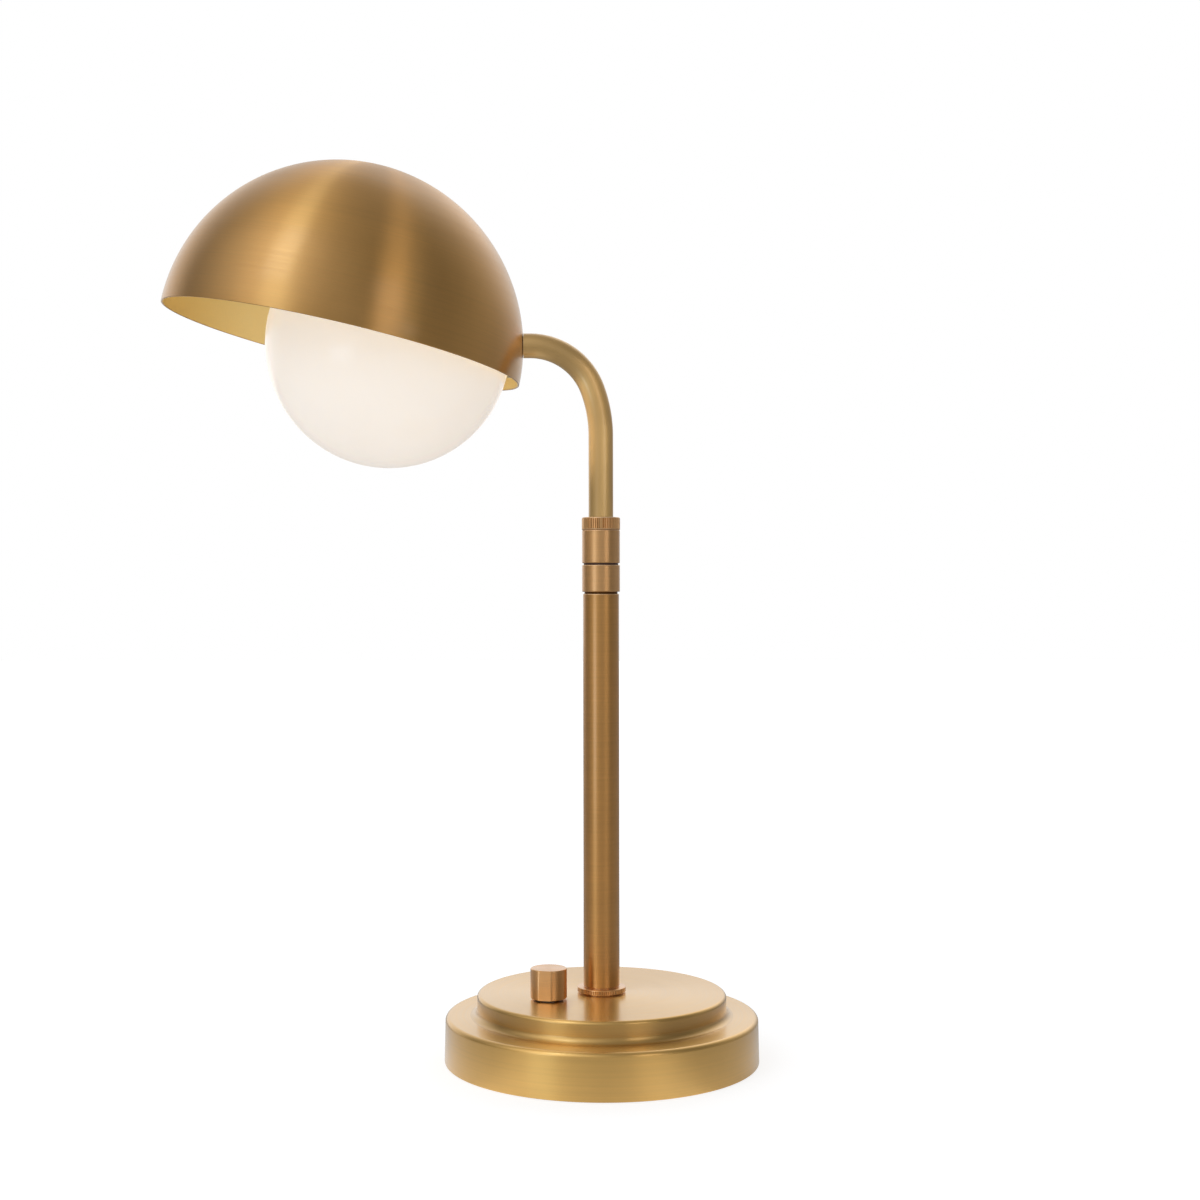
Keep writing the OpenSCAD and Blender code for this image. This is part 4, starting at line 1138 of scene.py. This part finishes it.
class LAMP_OT_stage(bpy.types.Operator):
    """Makes the camera, the floor, the soft lamps and the studio around them"""
    bl_idname = "lamp.stage"
    bl_label = "Stage"

    def execute(self, context):
        scene = context.scene
        camera = bpy.data.cameras.new("camera")
        camera.sensor_width = SENSOR
        camera.lens = FOCAL_PIXELS / FRAME_PIXELS * SENSOR
        camera.shift_x = (FRAME_PIXELS / 2 - VIEW_CENTRE[0]) / FRAME_PIXELS
        camera.shift_y = (VIEW_CENTRE[1] - FRAME_PIXELS / 2) / FRAME_PIXELS
        camera.clip_start, camera.clip_end = 0.01, 50
        eye = bpy.data.objects.new("camera", camera)
        eye.location = CAMERA_PLACE
        eye.rotation_euler = (math.pi / 2, CAMERA_ROLL, 0)
        scene.collection.objects.link(eye)
        scene.camera = eye

        floor_mesh = bpy.data.meshes.new("floor")
        corners = [(x * FLOOR_REACH, y * FLOOR_REACH, 0) for x, y in ((-1, -1), (1, -1), (1, 1), (-1, 1))]
        floor_mesh.from_pydata(corners, [], [(0, 1, 2, 3)])
        floor = make_object("floor", floor_mesh, [self.floor_finish(scene.lamp_colours.floor)])
        floor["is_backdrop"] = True

        for lamp in LAMPS:
            softbox(*lamp)
        self.studio(scene)
        scene.view_settings.view_transform = "Standard"
        return {"FINISHED"}

    def floor_finish(self, tint):
        """Matt painted studio board with a grain of about 3 mm. The camera sees it white but for
        the lamp's shadow, and the lamp's metal sees it lit close to the base and dim further off."""
        made, tree, shader = material("studio_board")
        place = add(tree, "TexCoord").outputs["Object"]
        grain = add(tree, "TexNoise", {"Vector": place, "Scale": 300.0, "Detail": 2.0}).outputs["Fac"]
        rough = add(
            tree, "MapRange", {"Value": grain, "To Min": 0.75, "To Max": 0.9},
        ).outputs["Result"]
        path = add(tree, "LightPath").outputs
        board = add(
            tree, "Mix", {"Factor": path["Is Diffuse Ray"], "A": rgba(tint), "B": rgba([0.85] * 3)},
            data_type="RGBA",
        ).outputs["Result"]
        give(tree, shader, {"Base Color": board, "Roughness": rough, "Specular IOR Level": 0.0})
        far = add(tree, "VectorMath", {0: place}, operation="LENGTH").outputs["Value"]
        close = add(
            tree, "MapRange",
            {"Value": far, "From Min": BASE_RADIUS, "From Max": 0.24, "To Min": 0.5, "To Max": 0.06},
        ).outputs["Result"]
        bright = add(
            tree, "MapRange",
            {"Value": far, "From Min": 0.1, "From Max": 0.5, "To Min": 0.78, "To Max": 1.0},
        ).outputs["Result"]
        mirror = add(
            tree, "Math", {0: path["Is Glossy Ray"], 1: path["Is Transmission Ray"]}, operation="MAXIMUM",
        ).outputs[0]
        side = self.cards(tree, add(tree, "SeparateXYZ", {"Vector": place}).outputs, 3)
        lit_side = add(tree, "Math", {0: close, 1: side}, operation="MULTIPLY").outputs[0]
        mirrored = add(tree, "Math", {0: mirror, 1: lit_side}, operation="MULTIPLY").outputs[0]
        shown = add(tree, "Math", {0: path["Is Camera Ray"], 1: bright}, operation="MULTIPLY").outputs[0]
        both = add(tree, "Math", {0: shown, 1: mirrored}, operation="MAXIMUM").outputs[0]
        glow = add(tree, "Emission", {"Strength": both})
        lit = add(tree, "AddShader", {0: shader.outputs["BSDF"], 1: glow.outputs["Emission"]})
        output = next(n for n in tree.nodes if n.type == "OUTPUT_MATERIAL")
        tree.links.new(lit.outputs["Shader"], output.inputs["Surface"])
        return made

    def studio(self, scene):
        """A white backdrop behind the lamp, and cards and dark flags around its front."""
        world = bpy.data.worlds.new("studio")
        scene.world = world
        world.use_nodes = True
        tree = world.node_tree
        tree.nodes.clear()
        way = add(tree, "SeparateXYZ", {"Vector": add(tree, "TexCoord").outputs["Generated"]}).outputs
        low = self.cards(tree, way, 1)
        high = self.cards(tree, way, 2)
        height = add(
            tree, "MapRange", {"Value": way["Z"], "From Min": 0.05, "From Max": 0.5},
            interpolation_type="SMOOTHSTEP",
        ).outputs["Result"]
        top = add(
            tree, "MapRange", {"Value": way["Z"], "From Min": 0.8, "From Max": 0.97},
            interpolation_type="SMOOTHSTEP",
        ).outputs["Result"]
        around = add(
            tree, "Mix", {"Factor": height, "A": low, "B": high}, data_type="RGBA",
        ).outputs["Result"]
        around = add(
            tree, "Mix", {"Factor": top, "A": around, "B": rgba([CEILING] * 3)}, data_type="RGBA",
        ).outputs["Result"]
        seen = add(tree, "LightPath").outputs["Is Camera Ray"]
        shown = add(
            tree, "Mix", {"Factor": seen, "A": around, "B": rgba([1, 1, 1])}, data_type="RGBA",
        ).outputs["Result"]
        light = add(tree, "Background", {"Color": shown, "Strength": 1.0})
        add(tree, "OutputWorld", {"Surface": light.outputs["Background"]})

    def cards(self, tree, way, column):
        """A column of the cards round the lamp, as a ramp over the bearing of a direction."""
        front = add(tree, "Math", {0: way["Y"], 1: -1.0}, operation="MULTIPLY").outputs[0]
        bearing = add(tree, "Math", {0: way["X"], 1: front}, operation="ARCTAN2").outputs[0]
        turn = add(
            tree, "MapRange", {"Value": bearing, "From Min": -math.pi, "From Max": math.pi},
        ).outputs["Result"]
        node = add(tree, "ValToRGB", {"Fac": turn})
        stops = node.color_ramp.elements
        for i, card in enumerate(CARDS):
            place = (card[0] + 180) / 360
            stop = stops[i] if i < 2 else stops.new(place)
            stop.position = place
            stop.color = rgba([card[column] / CARD_SCALE] * 3)
        return add(
            tree, "VectorMath", {0: node.outputs["Color"], "Scale": CARD_SCALE}, operation="SCALE",
        ).outputs["Vector"]


class LAMP_PT_pieces(bpy.types.Panel):
    """Lists the lamp's pieces and their properties"""
    bl_label = "Desk Lamp"
    bl_idname = "LAMP_PT_pieces"
    bl_space_type = "VIEW_3D"
    bl_region_type = "UI"
    bl_category = "Lamp"

    def draw(self, context):
        for group in (context.scene.lamp_sizes, context.scene.lamp_colours):
            column = self.layout.column(align=True)
            for name in group.__annotations__:
                column.prop(group, name)
        for operator in OPERATORS:
            self.layout.operator(operator.bl_idname)


OPERATORS = (
    LAMP_OT_stage, LAMP_OT_shade, LAMP_OT_globe, LAMP_OT_arm, LAMP_OT_collar, LAMP_OT_post,
    LAMP_OT_base, LAMP_OT_knob, LAMP_OT_fittings,
)
CLASSES = (LampSizes, LampColours, *OPERATORS, LAMP_PT_pieces)


def register():
    for cls in CLASSES:
        bpy.utils.register_class(cls)
    bpy.types.Scene.lamp_sizes = PointerProperty(type=LampSizes)
    bpy.types.Scene.lamp_colours = PointerProperty(type=LampColours)


def unregister():
    del bpy.types.Scene.lamp_colours
    del bpy.types.Scene.lamp_sizes
    for cls in reversed(CLASSES):
        bpy.utils.unregister_class(cls)


def main():
    register()
    for operator in OPERATORS:
        group, name = operator.bl_idname.split(".")
        getattr(getattr(bpy.ops, group), name)()
    sizes = {
        name: [list(corner) for corner in box]
        for name, box in (("cad", CAD_BOX), ("visual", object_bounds()))
    }


if __name__ == "__main__":
    main()
